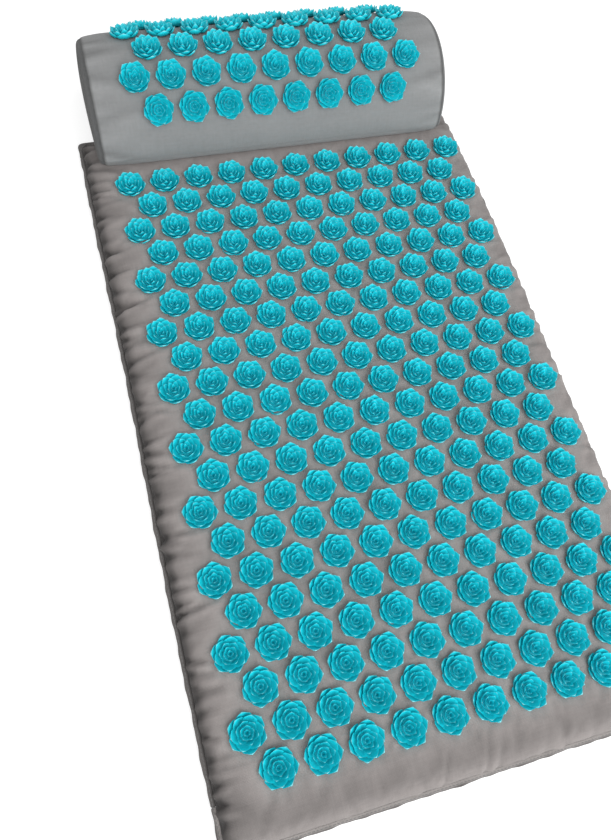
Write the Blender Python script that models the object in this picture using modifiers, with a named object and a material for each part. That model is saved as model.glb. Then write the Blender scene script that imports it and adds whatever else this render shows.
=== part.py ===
"""Acupressure mat with its half-round neck pillow, made as separate pieces.

The frame: X across the mat, +Y towards the head end, +Z up, metres. The origin is on the
mat's flat underside, midway between its ends and, across it, under the middle of the field
of discs, because the mat's left margin is the wider one. The pillow stands on the mat's head
margin at its front and on the floor at its back, so it leans back a little.

Run it with blender --background --python part.py, or from Blender's text editor.
"""
import math

import bmesh
import bpy
from mathutils import Matrix, Vector

# The mat
MAT_LENGTH = 0.686
MAT_WIDTH = 0.405
MAT_THICK = 0.020
CORNER_RADIUS = 0.010
TOP_ROLL = 0.0065
BOTTOM_ROLL = 0.004
LEFT_MARGIN = 0.0112
LEFT_TAPER = 0.0042
RIGHT_HEAD_PULL = 0.0087
FOOT_SLOPE_Y = -0.313
FOOT_DROP = 0.002
SIDE_STATIONS = 9

# Cloth, and the room that touching pieces keep
CLOTH = 0.0010
GAP = 0.0003
FOAM_INSET = CLOTH + 0.0009

# The seam welt that runs round the mat between the top and bottom cover
SEAM_Z = 0.009
WELT_WIDTH = 0.0050
WELT_THICK = 0.0024
WELT_ROOT = 0.0007
WELT_SQUARENESS = 6

# The discs: six flared, pointed petals round a raised bud. A radius is to a petal's tip
DISC_RADIUS = 0.0156
DISC_BASE_RADIUS = 0.0110
PETAL_HEIGHT = 0.0082
PETAL_DIP = 0.0026
TROUGH_RADIUS = 0.0104
TROUGH_HEIGHT = 0.0052
BUD_RADIUS = 0.0066
BUD_HEIGHT = 0.0092
PETALS = 6
STRIP_HEIGHT = 0.0005
DISC_PITCH = 0.0354

# The mat's field of discs: rows of eleven and ten in turn, from the head to the foot
ROW_PITCH = 0.0296
MAT_ROWS = 20
WIDE_ROW = 11
FIELD_Y = -0.0135

# The pillow, a half-round bolster
PILLOW_LENGTH = 0.382
PILLOW_RADIUS = 0.0751
PILLOW_HEIGHT = 0.0900
PILLOW_CORNER = 0.012
PILLOW_END_ROLL = 0.008
PILLOW_END_CROWN = 0.0025
PILLOW_X = -0.0127
PILLOW_Y = 0.3645
ARC_STEPS = 20
CORNER_STEPS = 4

# The pillow's discs: rows of eight and nine in turn, centred a little forward of the ridge
PILLOW_ROW_COUNTS = (8, 9, 8, 9, 8)
PILLOW_ROW_ANGLE = math.radians(22.6)
PILLOW_FIELD_ANGLE = math.radians(-11.4)

# The two zips. Both are drawn about their own middle: x along the zip, z out of the cloth
CHAIN_WIDTH = 0.0044
CHAIN_PROUD = 0.0016
CHAIN_DEPTH = 0.0012
TAPE_WIDTH = 0.0019
TAPE_SUNK = 0.0002
ZIP_SLOT = 2 * (CHAIN_WIDTH / 2 + GAP + TAPE_WIDTH + GAP)
STOP_LENGTH = 0.003
MAT_ZIP_Y = -0.100
MAT_ZIP_HALF = 0.206
PILLOW_ZIP_ANGLE = math.radians(75)
PILLOW_ZIP_HALF = 0.176
MAT_CHAIN_HALF = 0.196
PILLOW_CHAIN_HALF = 0.166
MAT_SLIDER_X = -0.185
PILLOW_SLIDER_X = 0.155
SLIDER_LENGTH = 0.011
SLIDER_WIDTH = 0.0086
SLIDER_TOP = 0.0036
GROOVE_WIDTH = CHAIN_WIDTH + 0.0008
GROOVE_TOP = CHAIN_PROUD + 0.0005
ARCH_LENGTH = 0.0084
ARCH_WIDTH = 0.0024
ARCH_TOP = 0.0072
ARCH_HOLE = (0.0058, 0.0024)
HINGE_Z = SLIDER_TOP + ARCH_HOLE[1] / 2
PULLER_LENGTH = 0.0240
PULLER_WIDTH = 0.0064
PULLER_THICK = 0.0012
WINDOW = (0.0055, 0.0038)

# Worked out from the sizes above
HALF_LENGTH = MAT_LENGTH / 2
HALF_WIDTH = MAT_WIDTH / 2
ZIP_HEAD_Y = MAT_ZIP_Y + MAT_ZIP_HALF
FLAT_RATIO = math.cos(math.pi / PETALS)
BASE_DEPTH = PILLOW_HEIGHT - PILLOW_RADIUS
CORNER_Z = PILLOW_CORNER - BASE_DEPTH
CORNER_Y = math.sqrt((PILLOW_RADIUS - PILLOW_CORNER) ** 2 - CORNER_Z ** 2)
ARC_END = math.atan2(CORNER_Y, CORNER_Z)
LEAN = math.asin((MAT_THICK + GAP) / (2 * CORNER_Y))
PILLOW_Z = PILLOW_CORNER + (MAT_THICK + GAP) / 2 - CORNER_Z * math.cos(LEAN)
FRONT_CORNER_Y = PILLOW_Y - CORNER_Y * math.cos(LEAN) + CORNER_Z * math.sin(LEAN)
FRONT_CORNER_Z = PILLOW_CORNER + MAT_THICK + GAP
HEAD_SLOPE_Y = FRONT_CORNER_Y + (
    FRONT_CORNER_Z - MAT_THICK - (PILLOW_CORNER + GAP) / math.cos(LEAN)) / math.tan(LEAN)

SMOOTH_ANGLE = math.radians(40)

CANVAS = (0.27, 0.28, 0.28)
CANVAS_DARK = (0.20, 0.20, 0.20)
TEAL = (0.012, 0.42, 0.50)
FOAM = (0.86, 0.85, 0.80)
TAPE_GREY = (0.12, 0.12, 0.12)
CHAIN_GREY = (0.08, 0.08, 0.08)
STEEL = (0.55, 0.56, 0.57)


def clear_scene():
    """Remove whatever the file opened with."""
    for obj in list(bpy.data.objects):
        bpy.data.objects.remove(obj, do_unlink=True)


def new_collection(name):
    """A collection linked to the scene."""
    made = bpy.data.collections.new(name)
    bpy.context.scene.collection.children.link(made)
    return made


def new_material(name, colour, roughness, metallic=0.0):
    """A Principled material of one colour."""
    made = bpy.data.materials.new(name)
    made.use_nodes = True
    shader = made.node_tree.nodes["Principled BSDF"]
    shader.inputs["Base Color"].default_value = (*colour, 1.0)
    shader.inputs["Roughness"].default_value = roughness
    shader.inputs["Metallic"].default_value = metallic
    return made


def mesh_from(name, bm, material=None):
    """Turn a bmesh into a mesh, with its faces pointing out and its round sides smooth."""
    bmesh.ops.recalc_face_normals(bm, faces=bm.faces)
    return finished_mesh(name, bm, material)


def finished_mesh(name, bm, material):
    """Turn a bmesh into a mesh as it stands, smooth where its faces meet at a low angle."""
    mesh = bpy.data.meshes.new(name)
    bm.to_mesh(mesh)
    bm.free()
    mesh.shade_smooth()
    mesh.set_sharp_from_angle(angle=SMOOTH_ANGLE)
    if material:
        mesh.materials.append(material)
    return mesh


def place(name, mesh, collection, parent=None, location=(0, 0, 0), rotation=(0, 0, 0)):
    """Put a mesh into the scene under its node's name."""
    obj = bpy.data.objects.new(name, mesh)
    collection.objects.link(obj)
    obj.parent = parent
    obj.location = location
    obj.rotation_euler = rotation
    return obj


def empty(name, collection, location, axes=None, parent=None):
    """An empty that pieces are parented to; axes is its 3 by 3 rotation."""
    obj = bpy.data.objects.new(name, None)
    collection.objects.link(obj)
    obj.parent = parent
    turn = axes.to_4x4() if axes else Matrix.Identity(4)
    obj.matrix_basis = Matrix.Translation(location) @ turn
    return obj


def box_bmesh(low, high):
    """A box between two corners."""
    low = Vector(low)
    high = Vector(high)
    bm = bmesh.new()
    bmesh.ops.create_cube(bm, size=1.0)
    bmesh.ops.scale(bm, vec=high - low, verts=bm.verts)
    bmesh.ops.translate(bm, vec=(low + high) / 2, verts=bm.verts)
    return bm


def solidify(obj, thickness):
    """Give an open sheet its thickness, inwards from the drawn side."""
    modifier = obj.modifiers.new("thickness", "SOLIDIFY")
    modifier.thickness = thickness
    modifier.offset = -1.0
    modifier.use_even_offset = True


def boolean(obj, other, operation):
    """Cut or join with another object."""
    modifier = obj.modifiers.new(operation.lower(), "BOOLEAN")
    modifier.object = other
    modifier.operation = operation
    modifier.solver = "EXACT"


def tool_box(name, low, high, cutters, parent=None):
    """A hidden box that cuts or joins another piece."""
    obj = place(name, mesh_from(name, box_bmesh(low, high)), cutters, parent)
    obj.hide_render = True
    obj.display_type = "WIRE"
    return obj


def all_geometry(bm):
    """Everything in a bmesh, as the cutting operators want it."""
    return bm.verts[:] + bm.edges[:] + bm.faces[:]


def cut_plane(bm, point, normal, drop_below=False, drop_above=False):
    """Cut a bmesh along a plane and drop the side named, if any."""
    bmesh.ops.bisect_plane(bm, geom=all_geometry(bm), dist=1e-7, plane_co=point, plane_no=normal,
                           clear_inner=drop_below, clear_outer=drop_above)


# The mat

def side_shift(x, y):
    """How far the cover's side stands out (+) or in (-) from a straight slab, at this y.

    The left margin is the wider one. It widens further towards the head and narrows
    towards the foot. The right side is straight along the zip and pulls in towards the head.
    """
    if x < 0 and y > 0:
        return LEFT_MARGIN + LEFT_TAPER * math.sin(math.pi / 2 * min(y / HALF_LENGTH, 1.0)) ** 2
    if x < 0:
        return LEFT_MARGIN - LEFT_TAPER * (y / HALF_LENGTH) ** 2
    if y > ZIP_HEAD_Y:
        return -RIGHT_HEAD_PULL * ((y - ZIP_HEAD_Y) / (HALF_LENGTH - ZIP_HEAD_Y)) ** 2
    return 0.0


def top_drop(y):
    """How far the top lies below its full height: under the pillow, and at the foot."""
    if y > HEAD_SLOPE_Y:
        return math.tan(LEAN) * (y - HEAD_SLOPE_Y)
    if y < FOOT_SLOPE_Y:
        return FOOT_DROP * (FOOT_SLOPE_Y - y) / (HALF_LENGTH + FOOT_SLOPE_Y)
    return 0.0


def shape_slab(bm):
    """Bend the plain slab into the cushion: uneven sides and a crown that falls off."""
    for vert in bm.verts:
        x, y, z = vert.co
        vert.co.x = x * (1 + side_shift(x, y) / HALF_WIDTH)
        vert.co.z = z * (1 - top_drop(y) / MAT_THICK)


def cut_stations(bm):
    """Cut the slab across so that its long sides can curve and its top can slope."""
    step = (HEAD_SLOPE_Y - FOOT_SLOPE_Y) / (SIDE_STATIONS + 1)
    for k in range(SIDE_STATIONS + 2):
        cut_plane(bm, (0, FOOT_SLOPE_Y + k * step, 0), (0, 1, 0))
    cut_plane(bm, (0, ZIP_HEAD_Y, 0), (0, 1, 0))


def slab_bmesh(inset):
    """The mat's slab, smaller by inset on every side, with its corners and edges rounded."""
    half = Vector((HALF_WIDTH - inset, HALF_LENGTH - inset))
    low = inset
    high = MAT_THICK - inset
    bm = box_bmesh((-half.x, -half.y, low), (half.x, half.y, high))
    uprights = [e for e in bm.edges if abs(e.verts[0].co.z - e.verts[1].co.z) > MAT_THICK / 2]
    bmesh.ops.bevel(bm, geom=uprights, offset=CORNER_RADIUS - inset, segments=3,
                    affect="EDGES", profile=0.5)
    for level, roll, segments in ((high, TOP_ROLL, 3), (low, BOTTOM_ROLL, 2)):
        rim = [e for e in bm.edges if all(abs(v.co.z - level) < 1e-6 for v in e.verts)]
        bmesh.ops.bevel(bm, geom=rim, offset=roll - inset, segments=segments,
                        affect="EDGES", profile=0.5)
    cut_stations(bm)
    return bm


def make_mat_covers(parts, cutters):
    """The top and bottom cover: two trays of cloth that meet at the side seam."""
    canvas = new_material("mat_canvas", CANVAS, 0.9)
    opening = tool_box(
        "mat_zip_opening",
        (HALF_WIDTH - 0.005, MAT_ZIP_Y - MAT_ZIP_HALF, SEAM_Z - ZIP_SLOT / 2),
        (HALF_WIDTH + 0.005, MAT_ZIP_Y + MAT_ZIP_HALF, SEAM_Z + ZIP_SLOT / 2), cutters)
    seam_half = WELT_THICK / 2 + GAP
    for name, side in (("mat_top_cover", 1), ("mat_bottom_cover", -1)):
        bm = slab_bmesh(0.0)
        cut_plane(bm, (0, 0, SEAM_Z + side * seam_half), (0, 0, 1),
                  drop_below=side > 0, drop_above=side < 0)
        shape_slab(bm)
        cover = place(name, mesh_from(name, bm, canvas), parts)
        solidify(cover, CLOTH)
        boolean(cover, opening, "DIFFERENCE")


def make_mat_foam(parts):
    """The foam slab inside the mat's cover."""
    bm = slab_bmesh(FOAM_INSET)
    shape_slab(bm)
    place("mat_foam_core", mesh_from("mat_foam_core", bm, new_material("mat_foam", FOAM, 1.0)), parts)


def welt_bmesh():
    """The whole welt as a flat ring round the seam, before it is cut into its lengths."""
    bm = bmesh.new()
    bmesh.ops.create_grid(bm, x_segments=1, y_segments=1, size=1.0)
    bmesh.ops.scale(bm, vec=(HALF_WIDTH + WELT_WIDTH, HALF_LENGTH + WELT_WIDTH, 1), verts=bm.verts)
    bmesh.ops.translate(bm, vec=(0, 0, SEAM_Z - WELT_THICK / 2), verts=bm.verts)
    bmesh.ops.bevel(bm, geom=bm.verts[:], offset=CORNER_RADIUS + WELT_WIDTH, segments=4,
                    affect="VERTICES", profile=0.5)
    bmesh.ops.inset_region(bm, faces=bm.faces[:], thickness=WELT_WIDTH + WELT_ROOT,
                           use_even_offset=True, use_boundary=True)
    middle = [f for f in bm.faces if abs(f.calc_center_median().x) + abs(f.calc_center_median().y) < 0.01]
    bmesh.ops.delete(bm, geom=middle, context="FACES")
    square_corners(bm)
    cut_stations(bm)
    return bm


def square_corners(bm):
    """Push the welt's outer corner points out to the squarer corner of cloth turned right side out."""
    for vert in bm.verts:
        core = Vector((math.copysign(HALF_WIDTH - CORNER_RADIUS, vert.co.x),
                       math.copysign(HALF_LENGTH - CORNER_RADIUS, vert.co.y)))
        out = vert.co.xy - core
        if out.length > CORNER_RADIUS + WELT_WIDTH / 2 and min(out.x * core.x, out.y * core.y) >= 0:
            way = out.normalized()
            spread = sum(abs(share) ** WELT_SQUARENESS for share in way)
            vert.co.xy = core + out * spread ** (-1 / WELT_SQUARENESS)


def make_welts(parts):
    """The seam welt in four lengths: head, left, foot, and the right side past the zip."""
    canvas = new_material("welt_canvas", CANVAS_DARK, 0.9)
    head_cut = HALF_LENGTH - 0.020
    foot_cut = MAT_ZIP_Y - MAT_ZIP_HALF - GAP
    zip_cut = ZIP_HEAD_Y + GAP
    for name, low_y, high_y, side in (("mat_welt_head", head_cut + GAP, 1, 0),
                                      ("mat_welt_left", foot_cut + GAP, head_cut, -1),
                                      ("mat_welt_right", zip_cut, head_cut, 1),
                                      ("mat_welt_foot", -1, foot_cut, 0)):
        bm = welt_bmesh()
        cut_plane(bm, (0, low_y, 0), (0, 1, 0), drop_below=True)
        cut_plane(bm, (0, high_y, 0), (0, 1, 0), drop_above=True)
        if side:
            cut_plane(bm, (0, 0, 0), (side, 0, 0), drop_below=True)
        raised = bmesh.ops.extrude_face_region(bm, geom=bm.faces[:], use_keep_orig=True)["geom"]
        lifted = [v for v in raised if isinstance(v, bmesh.types.BMVert)]
        bmesh.ops.translate(bm, vec=(0, 0, WELT_THICK), verts=lifted)
        shape_slab(bm)
        place(name, mesh_from(name, bm, canvas), parts)


# The discs

def side_face(bm, centre_x, side):
    """The disc's outer face that looks along +X or -X towards its neighbour."""
    own = [f for f in bm.faces
           if f.normal.z < 0 and abs(f.calc_center_median().x - centre_x) < DISC_RADIUS]
    return max(own, key=lambda f: side * (f.calc_center_median().x - centre_x))


def add_disc(bm, centre_x):
    """One flower disc: a flared six-sided cup with pointed petals, and a three-cornered bud in it."""
    stand = Matrix.Translation((centre_x, 0, PETAL_HEIGHT / 2))
    cup = bmesh.ops.create_cone(bm, cap_ends=True, segments=PETALS, radius1=DISC_BASE_RADIUS,
                                radius2=DISC_RADIUS, depth=PETAL_HEIGHT, matrix=stand)
    top = max({f for v in cup["verts"] for f in v.link_faces}, key=lambda f: f.calc_center_median().z)
    corners = {v for v in cup["verts"] if v.co.z > STRIP_HEIGHT}
    for reach, rise in ((DISC_RADIUS - TROUGH_RADIUS, TROUGH_HEIGHT - PETAL_HEIGHT),
                        (TROUGH_RADIUS - BUD_RADIUS, BUD_HEIGHT - TROUGH_HEIGHT)):
        bmesh.ops.inset_individual(bm, faces=[top], thickness=reach * FLAT_RATIO, depth=rise,
                                   use_even_offset=True)
    bmesh.ops.collapse(bm, edges=top.edges[:][::2])
    for edge in [e for e in bm.edges if corners.issuperset(e.verts)]:
        dip = bmesh.utils.edge_split(edge, edge.verts[0], 0.5)[1]
        dip.co.z -= PETAL_DIP
    bm.normal_update()


def open_side(bm, centre_x, side):
    """Open a low three-cornered hole in a disc's side and return the hole's edges."""
    wall = side_face(bm, centre_x, side)
    peak = bmesh.ops.poke(bm, faces=[wall])["verts"][0]
    reach = DISC_BASE_RADIUS + (DISC_RADIUS - DISC_BASE_RADIUS) * STRIP_HEIGHT / PETAL_HEIGHT
    peak.co = (centre_x + side * reach * FLAT_RATIO, 0, STRIP_HEIGHT)
    low = min(peak.link_faces, key=lambda f: f.calc_center_median().z)
    edges = low.edges[:]
    bmesh.ops.delete(bm, geom=[low], context="FACES_ONLY")
    return edges


def disc_row_mesh(name, count, material):
    """A straight row of discs, joined under their rims by the thin strip that bonds them."""
    bm = bmesh.new()
    centres = [(k - (count - 1) / 2) * DISC_PITCH for k in range(count)]
    for centre_x in centres:
        add_disc(bm, centre_x)
    for left, right in zip(centres, centres[1:]):
        ends = open_side(bm, left, 1) + open_side(bm, right, -1)
        bmesh.ops.bridge_loops(bm, edges=ends)
    return mesh_from(name, bm, material)


def make_mat_discs(parts, plastic):
    """Twenty rows across the mat; every second row has one disc fewer."""
    meshes = {count: disc_row_mesh(f"disc_row_of_{count}", count, plastic)
              for count in (WIDE_ROW, WIDE_ROW - 1)}
    for row in range(MAT_ROWS):
        y = FIELD_Y + ((MAT_ROWS - 1) / 2 - row) * ROW_PITCH
        mesh = meshes[WIDE_ROW - row % 2]
        place(f"mat_disc_row_{row + 1:02d}", mesh, parts, location=(0, y, MAT_THICK + GAP))


def make_pillow_discs(parts, plastic, frame):
    """Five rows along the pillow, each square to the round top."""
    meshes = {count: disc_row_mesh(f"pillow_row_of_{count}", count, plastic)
              for count in sorted(set(PILLOW_ROW_COUNTS))}
    middle = (len(PILLOW_ROW_COUNTS) - 1) / 2
    for row, count in enumerate(PILLOW_ROW_COUNTS):
        angle = PILLOW_FIELD_ANGLE + (row - middle) * PILLOW_ROW_ANGLE
        reach = PILLOW_RADIUS + GAP
        spot = (0, reach * math.sin(angle), reach * math.cos(angle))
        place(f"pillow_disc_row_{row + 1}", meshes[count], parts, frame, spot, (-angle, 0, 0))


# The pillow. Its own frame has x along it, z up its middle, and its origin at the arc's centre

def arc_point(radius, angle, centre=(0.0, 0.0)):
    """A point of an arc in the end view, by its angle from straight up towards the back."""
    return (centre[0] + radius * math.sin(angle), centre[1] + radius * math.cos(angle))


def corner_arc(inset, side):
    """The rounded lower corner, from the big arc's end down to the base."""
    radius = PILLOW_CORNER - inset
    centre = (side * CORNER_Y, CORNER_Z)
    steps = [ARC_END + (math.pi - ARC_END) * k / CORNER_STEPS for k in range(CORNER_STEPS + 1)]
    return [arc_point(radius, side * angle, centre) for angle in steps]


def big_arc(inset, start, end, steps):
    """The round top between two angles."""
    radius = PILLOW_RADIUS - inset
    return [arc_point(radius, start + (end - start) * k / steps) for k in range(steps + 1)]


def wrap_line(inset, slot):
    """The upper cover in the end view: front corner, over the top, to the zip's slot."""
    stop = PILLOW_ZIP_ANGLE - slot / 2 / PILLOW_RADIUS
    front = corner_arc(inset, -1)[::-1]
    return front + big_arc(inset, -ARC_END, stop, ARC_STEPS)[1:]


def base_line(inset, slot):
    """The lower cover in the end view: from the zip's slot down and under to the front."""
    start = PILLOW_ZIP_ANGLE + slot / 2 / PILLOW_RADIUS
    front = corner_arc(inset, -1)[-1]
    return big_arc(inset, start, ARC_END, 1) + corner_arc(inset, 1)[1:] + [(front[0] + GAP, front[1])]


def whole_line(inset, slot):
    """The whole outline in the end view, closed."""
    over = big_arc(inset, -ARC_END, ARC_END, ARC_STEPS)
    return over + corner_arc(inset, 1)[1:] + corner_arc(inset, -1)[:0:-1]


def end_stations(inset):
    """Places along the pillow, each with its inset, for ends that roll over like a pad's."""
    roll = PILLOW_END_ROLL - inset
    half = PILLOW_LENGTH / 2 - inset
    rounding = []
    for k in range(4):
        angle = math.pi / 2 * k / 3
        rounding.append((half - roll * (1 - math.cos(angle)), inset + roll * (1 - math.sin(angle)), GAP))
    right = rounding + [(PILLOW_ZIP_HALF, inset, ZIP_SLOT)]
    return [(-x, depth, slot) for x, depth, slot in right] + right[::-1]


def pillow_sheet(line, inset=0.0):
    """A sheet along the pillow that follows a line of the end view, as a bmesh."""
    stations = end_stations(inset)
    rows = [[Vector((x, *point)) for point in line(depth, slot)] for x, depth, slot in stations]
    along = len(rows) - 1
    around = len(rows[0]) - 1
    bm = bmesh.new()
    bmesh.ops.create_grid(bm, x_segments=along, y_segments=around, size=0.5)
    for vert in bm.verts:
        i = round((vert.co.x + 0.5) * along)
        j = round((vert.co.y + 0.5) * around)
        vert.co = rows[i][j]
    return bm


def outward_sheet(name, bm, material):
    """A mesh of an open sheet whose faces look away from the pillow's middle."""
    for face in bm.faces:
        face.normal_update()
    widest = max(bm.faces, key=lambda f: f.calc_area())
    if widest.normal.dot(widest.calc_center_median()) < 0:
        bmesh.ops.reverse_faces(bm, faces=bm.faces[:])
    return finished_mesh(name, bm, material)


def make_pillow_covers(parts, frame):
    """The upper cover, the lower cover and the two end panels."""
    canvas = new_material("pillow_canvas", CANVAS, 0.9)
    for name, line in (("pillow_top_cover", wrap_line), ("pillow_base_cover", base_line)):
        cover = place(name, outward_sheet(name, pillow_sheet(line), canvas), parts, frame)
        solidify(cover, CLOTH)
    for name, side in (("pillow_end_left", -1), ("pillow_end_right", 1)):
        outline = whole_line(PILLOW_END_ROLL + CLOTH, GAP)
        bm = bmesh.new()
        bmesh.ops.create_circle(bm, segments=len(outline), radius=1.0, cap_ends=True)
        for vert, point in zip(bm.verts, outline):
            vert.co = (side * PILLOW_LENGTH / 2, *point)
        crown = bmesh.ops.poke(bm, faces=bm.faces[:])["verts"][0]
        crown.co = (side * (PILLOW_LENGTH / 2 + PILLOW_END_CROWN), 0, PILLOW_RADIUS / 2)
        panel = place(name, outward_sheet(name, bm, canvas), parts, frame)
        solidify(panel, CLOTH)


def make_pillow_foam(parts, frame):
    """The half-round foam block inside the pillow's cover."""
    bm = pillow_sheet(lambda inset, slot: whole_line(inset, slot) + whole_line(inset, slot)[:1], FOAM_INSET)
    bmesh.ops.remove_doubles(bm, verts=bm.verts, dist=1e-6)
    bmesh.ops.holes_fill(bm, edges=[e for e in bm.edges if e.is_boundary])
    mesh = mesh_from("pillow_foam_core", bm, new_material("pillow_foam", FOAM, 1.0))
    place("pillow_foam_core", mesh, parts, frame)


# The zips

def make_zip(name, frame, half_length, chain_half, slider_x, parts, cutters):
    """One zip on its frame: two tapes, the closed chain, two stops, the slider and its puller."""
    cloth = new_material(f"{name}_tape_cloth", TAPE_GREY, 0.85)
    nylon = new_material(f"{name}_chain_nylon", CHAIN_GREY, 0.45)
    metal = new_material(f"{name}_metal", STEEL, 0.35, 0.9)
    low = -CHAIN_DEPTH
    tape_y = CHAIN_WIDTH / 2 + GAP
    reach = half_length - GAP
    for edge, sign in (("upper", 1), ("lower", -1)):
        spans = sorted((sign * tape_y, sign * (tape_y + TAPE_WIDTH)))
        bm = box_bmesh((-reach, spans[0], low), (reach, spans[1], -TAPE_SUNK))
        place(f"{name}_tape_{edge}", mesh_from("tape", bm, cloth), parts, frame)
    chain = box_bmesh((-chain_half, -CHAIN_WIDTH / 2, low), (chain_half, CHAIN_WIDTH / 2, CHAIN_PROUD))
    crest = [e for e in chain.edges if all(v.co.z > 0 for v in e.verts)
             and abs(e.verts[0].co.y - e.verts[1].co.y) < 1e-6]
    bmesh.ops.bevel(chain, geom=crest, offset=CHAIN_PROUD / 2, segments=2, affect="EDGES", profile=0.5)
    place(f"{name}_chain", mesh_from("chain", chain, nylon), parts, frame)
    closed = math.copysign(1, slider_x)
    for end, sign in (("closed", closed), ("open", -closed)):
        spans = sorted((sign * (chain_half + GAP), sign * (chain_half + GAP + STOP_LENGTH)))
        bm = box_bmesh((spans[0], -CHAIN_WIDTH / 2, low), (spans[1], CHAIN_WIDTH / 2, CHAIN_PROUD))
        place(f"{name}_stop_{end}", mesh_from("stop", bm, metal), parts, frame)
    make_slider(name, frame, slider_x, metal, parts, cutters)


def make_slider(name, frame, slider_x, metal, parts, cutters):
    """The slider, a channel over the chain with an arch on top, and the puller in the arch.

    The puller points from the closed end towards the zip's middle.
    """
    turn = Matrix.Rotation(0 if slider_x > 0 else math.pi, 3, "Z")
    seat = empty(f"{name}_slider_seat", parts, (slider_x, 0, 0), turn, frame)
    half = SLIDER_LENGTH / 2
    bm = box_bmesh((-half, -SLIDER_WIDTH / 2, GAP), (half, SLIDER_WIDTH / 2, SLIDER_TOP))
    corners = [e for e in bm.edges if abs(e.verts[0].co.z - e.verts[1].co.z) > GAP]
    bmesh.ops.bevel(bm, geom=corners, offset=0.0015, segments=2, affect="EDGES", profile=0.5)
    slider = place(f"{name}_slider", mesh_from("slider", bm, metal), parts, seat)
    groove = tool_box(f"{name}_groove", (-half - 0.001, -GROOVE_WIDTH / 2, -0.001),
                      (half + 0.001, GROOVE_WIDTH / 2, GROOVE_TOP), cutters, seat)
    arch = tool_box(f"{name}_arch", (-ARCH_LENGTH / 2, -ARCH_WIDTH / 2, SLIDER_TOP - 0.0006),
                    (ARCH_LENGTH / 2, ARCH_WIDTH / 2, ARCH_TOP), cutters, seat)
    hole = tool_box(f"{name}_arch_hole", (-ARCH_HOLE[0] / 2, -ARCH_WIDTH, SLIDER_TOP),
                    (ARCH_HOLE[0] / 2, ARCH_WIDTH, SLIDER_TOP + ARCH_HOLE[1]), cutters, seat)
    boolean(slider, groove, "DIFFERENCE")
    boolean(slider, arch, "UNION")
    boolean(slider, hole, "DIFFERENCE")

    hinge = empty(f"{name}_puller_hinge", parts, (0, 0, HINGE_Z), parent=seat)
    bar = PULLER_THICK / 2
    bm = box_bmesh((-PULLER_LENGTH, -PULLER_WIDTH / 2, -bar), (bar, PULLER_WIDTH / 2, bar))
    tip = [e for e in bm.edges if all(v.co.x < -bar for v in e.verts)
           and abs(e.verts[0].co.z - e.verts[1].co.z) > bar]
    bmesh.ops.bevel(bm, geom=tip, offset=PULLER_WIDTH / 3, segments=4, affect="EDGES", profile=0.5)
    puller = place(f"{name}_puller", mesh_from("puller", bm, metal), parts, hinge)
    window = tool_box(f"{name}_window", (-bar - WINDOW[0], -WINDOW[1] / 2, -2 * bar),
                      (-bar, WINDOW[1] / 2, 2 * bar), cutters, hinge)
    boolean(puller, window, "DIFFERENCE")


def make_mat_zip(parts, cutters):
    """The mat's zip, in the right long side: it runs along Y, faces +X and closes at its foot end."""
    axes = Matrix(((0, 0, 1), (1, 0, 0), (0, 1, 0)))
    frame = empty("mat_zip_frame", parts, (HALF_WIDTH, MAT_ZIP_Y, SEAM_Z), axes)
    make_zip("mat_zip", frame, MAT_ZIP_HALF, MAT_CHAIN_HALF, MAT_SLIDER_X, parts, cutters)


def make_pillow_zip(parts, cutters, pillow):
    """The pillow's zip, low on its back: it runs along the pillow and faces out of the arc."""
    sine = math.sin(PILLOW_ZIP_ANGLE)
    cosine = math.cos(PILLOW_ZIP_ANGLE)
    axes = Matrix(((1, 0, 0), (0, cosine, sine), (0, -sine, cosine)))
    spot = (0, PILLOW_RADIUS * sine, PILLOW_RADIUS * cosine)
    frame = empty("pillow_zip_frame", parts, spot, axes, pillow)
    make_zip("pillow_zip", frame, PILLOW_ZIP_HALF, PILLOW_CHAIN_HALF, PILLOW_SLIDER_X, parts, cutters)


def main():
    """Build the mat and the pillow."""
    clear_scene()
    parts = new_collection("acupressure_mat_and_pillow")
    cutters = new_collection("cutters")
    plastic = new_material("disc_plastic", TEAL, 0.3)
    pillow = empty("pillow_frame", parts, (PILLOW_X, PILLOW_Y, PILLOW_Z),
                   Matrix.Rotation(-LEAN, 3, "X"))
    make_mat_foam(parts)
    make_mat_covers(parts, cutters)
    make_welts(parts)
    make_mat_discs(parts, plastic)
    make_mat_zip(parts, cutters)
    make_pillow_foam(parts, pillow)
    make_pillow_covers(parts, pillow)
    make_pillow_discs(parts, plastic, pillow)
    make_pillow_zip(parts, cutters, pillow)


main()
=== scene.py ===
"""The looks of an acupressure mat and half-round pillow: cloth, flowers, seams, zips and stage.

Everything is in metres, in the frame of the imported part: X across the mat, +Y towards its
head end, +Z up, with the origin on the mat's flat underside.
"""
import math
from functools import partial

import bpy
import numpy as np
from mathutils import Matrix, Vector


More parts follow.
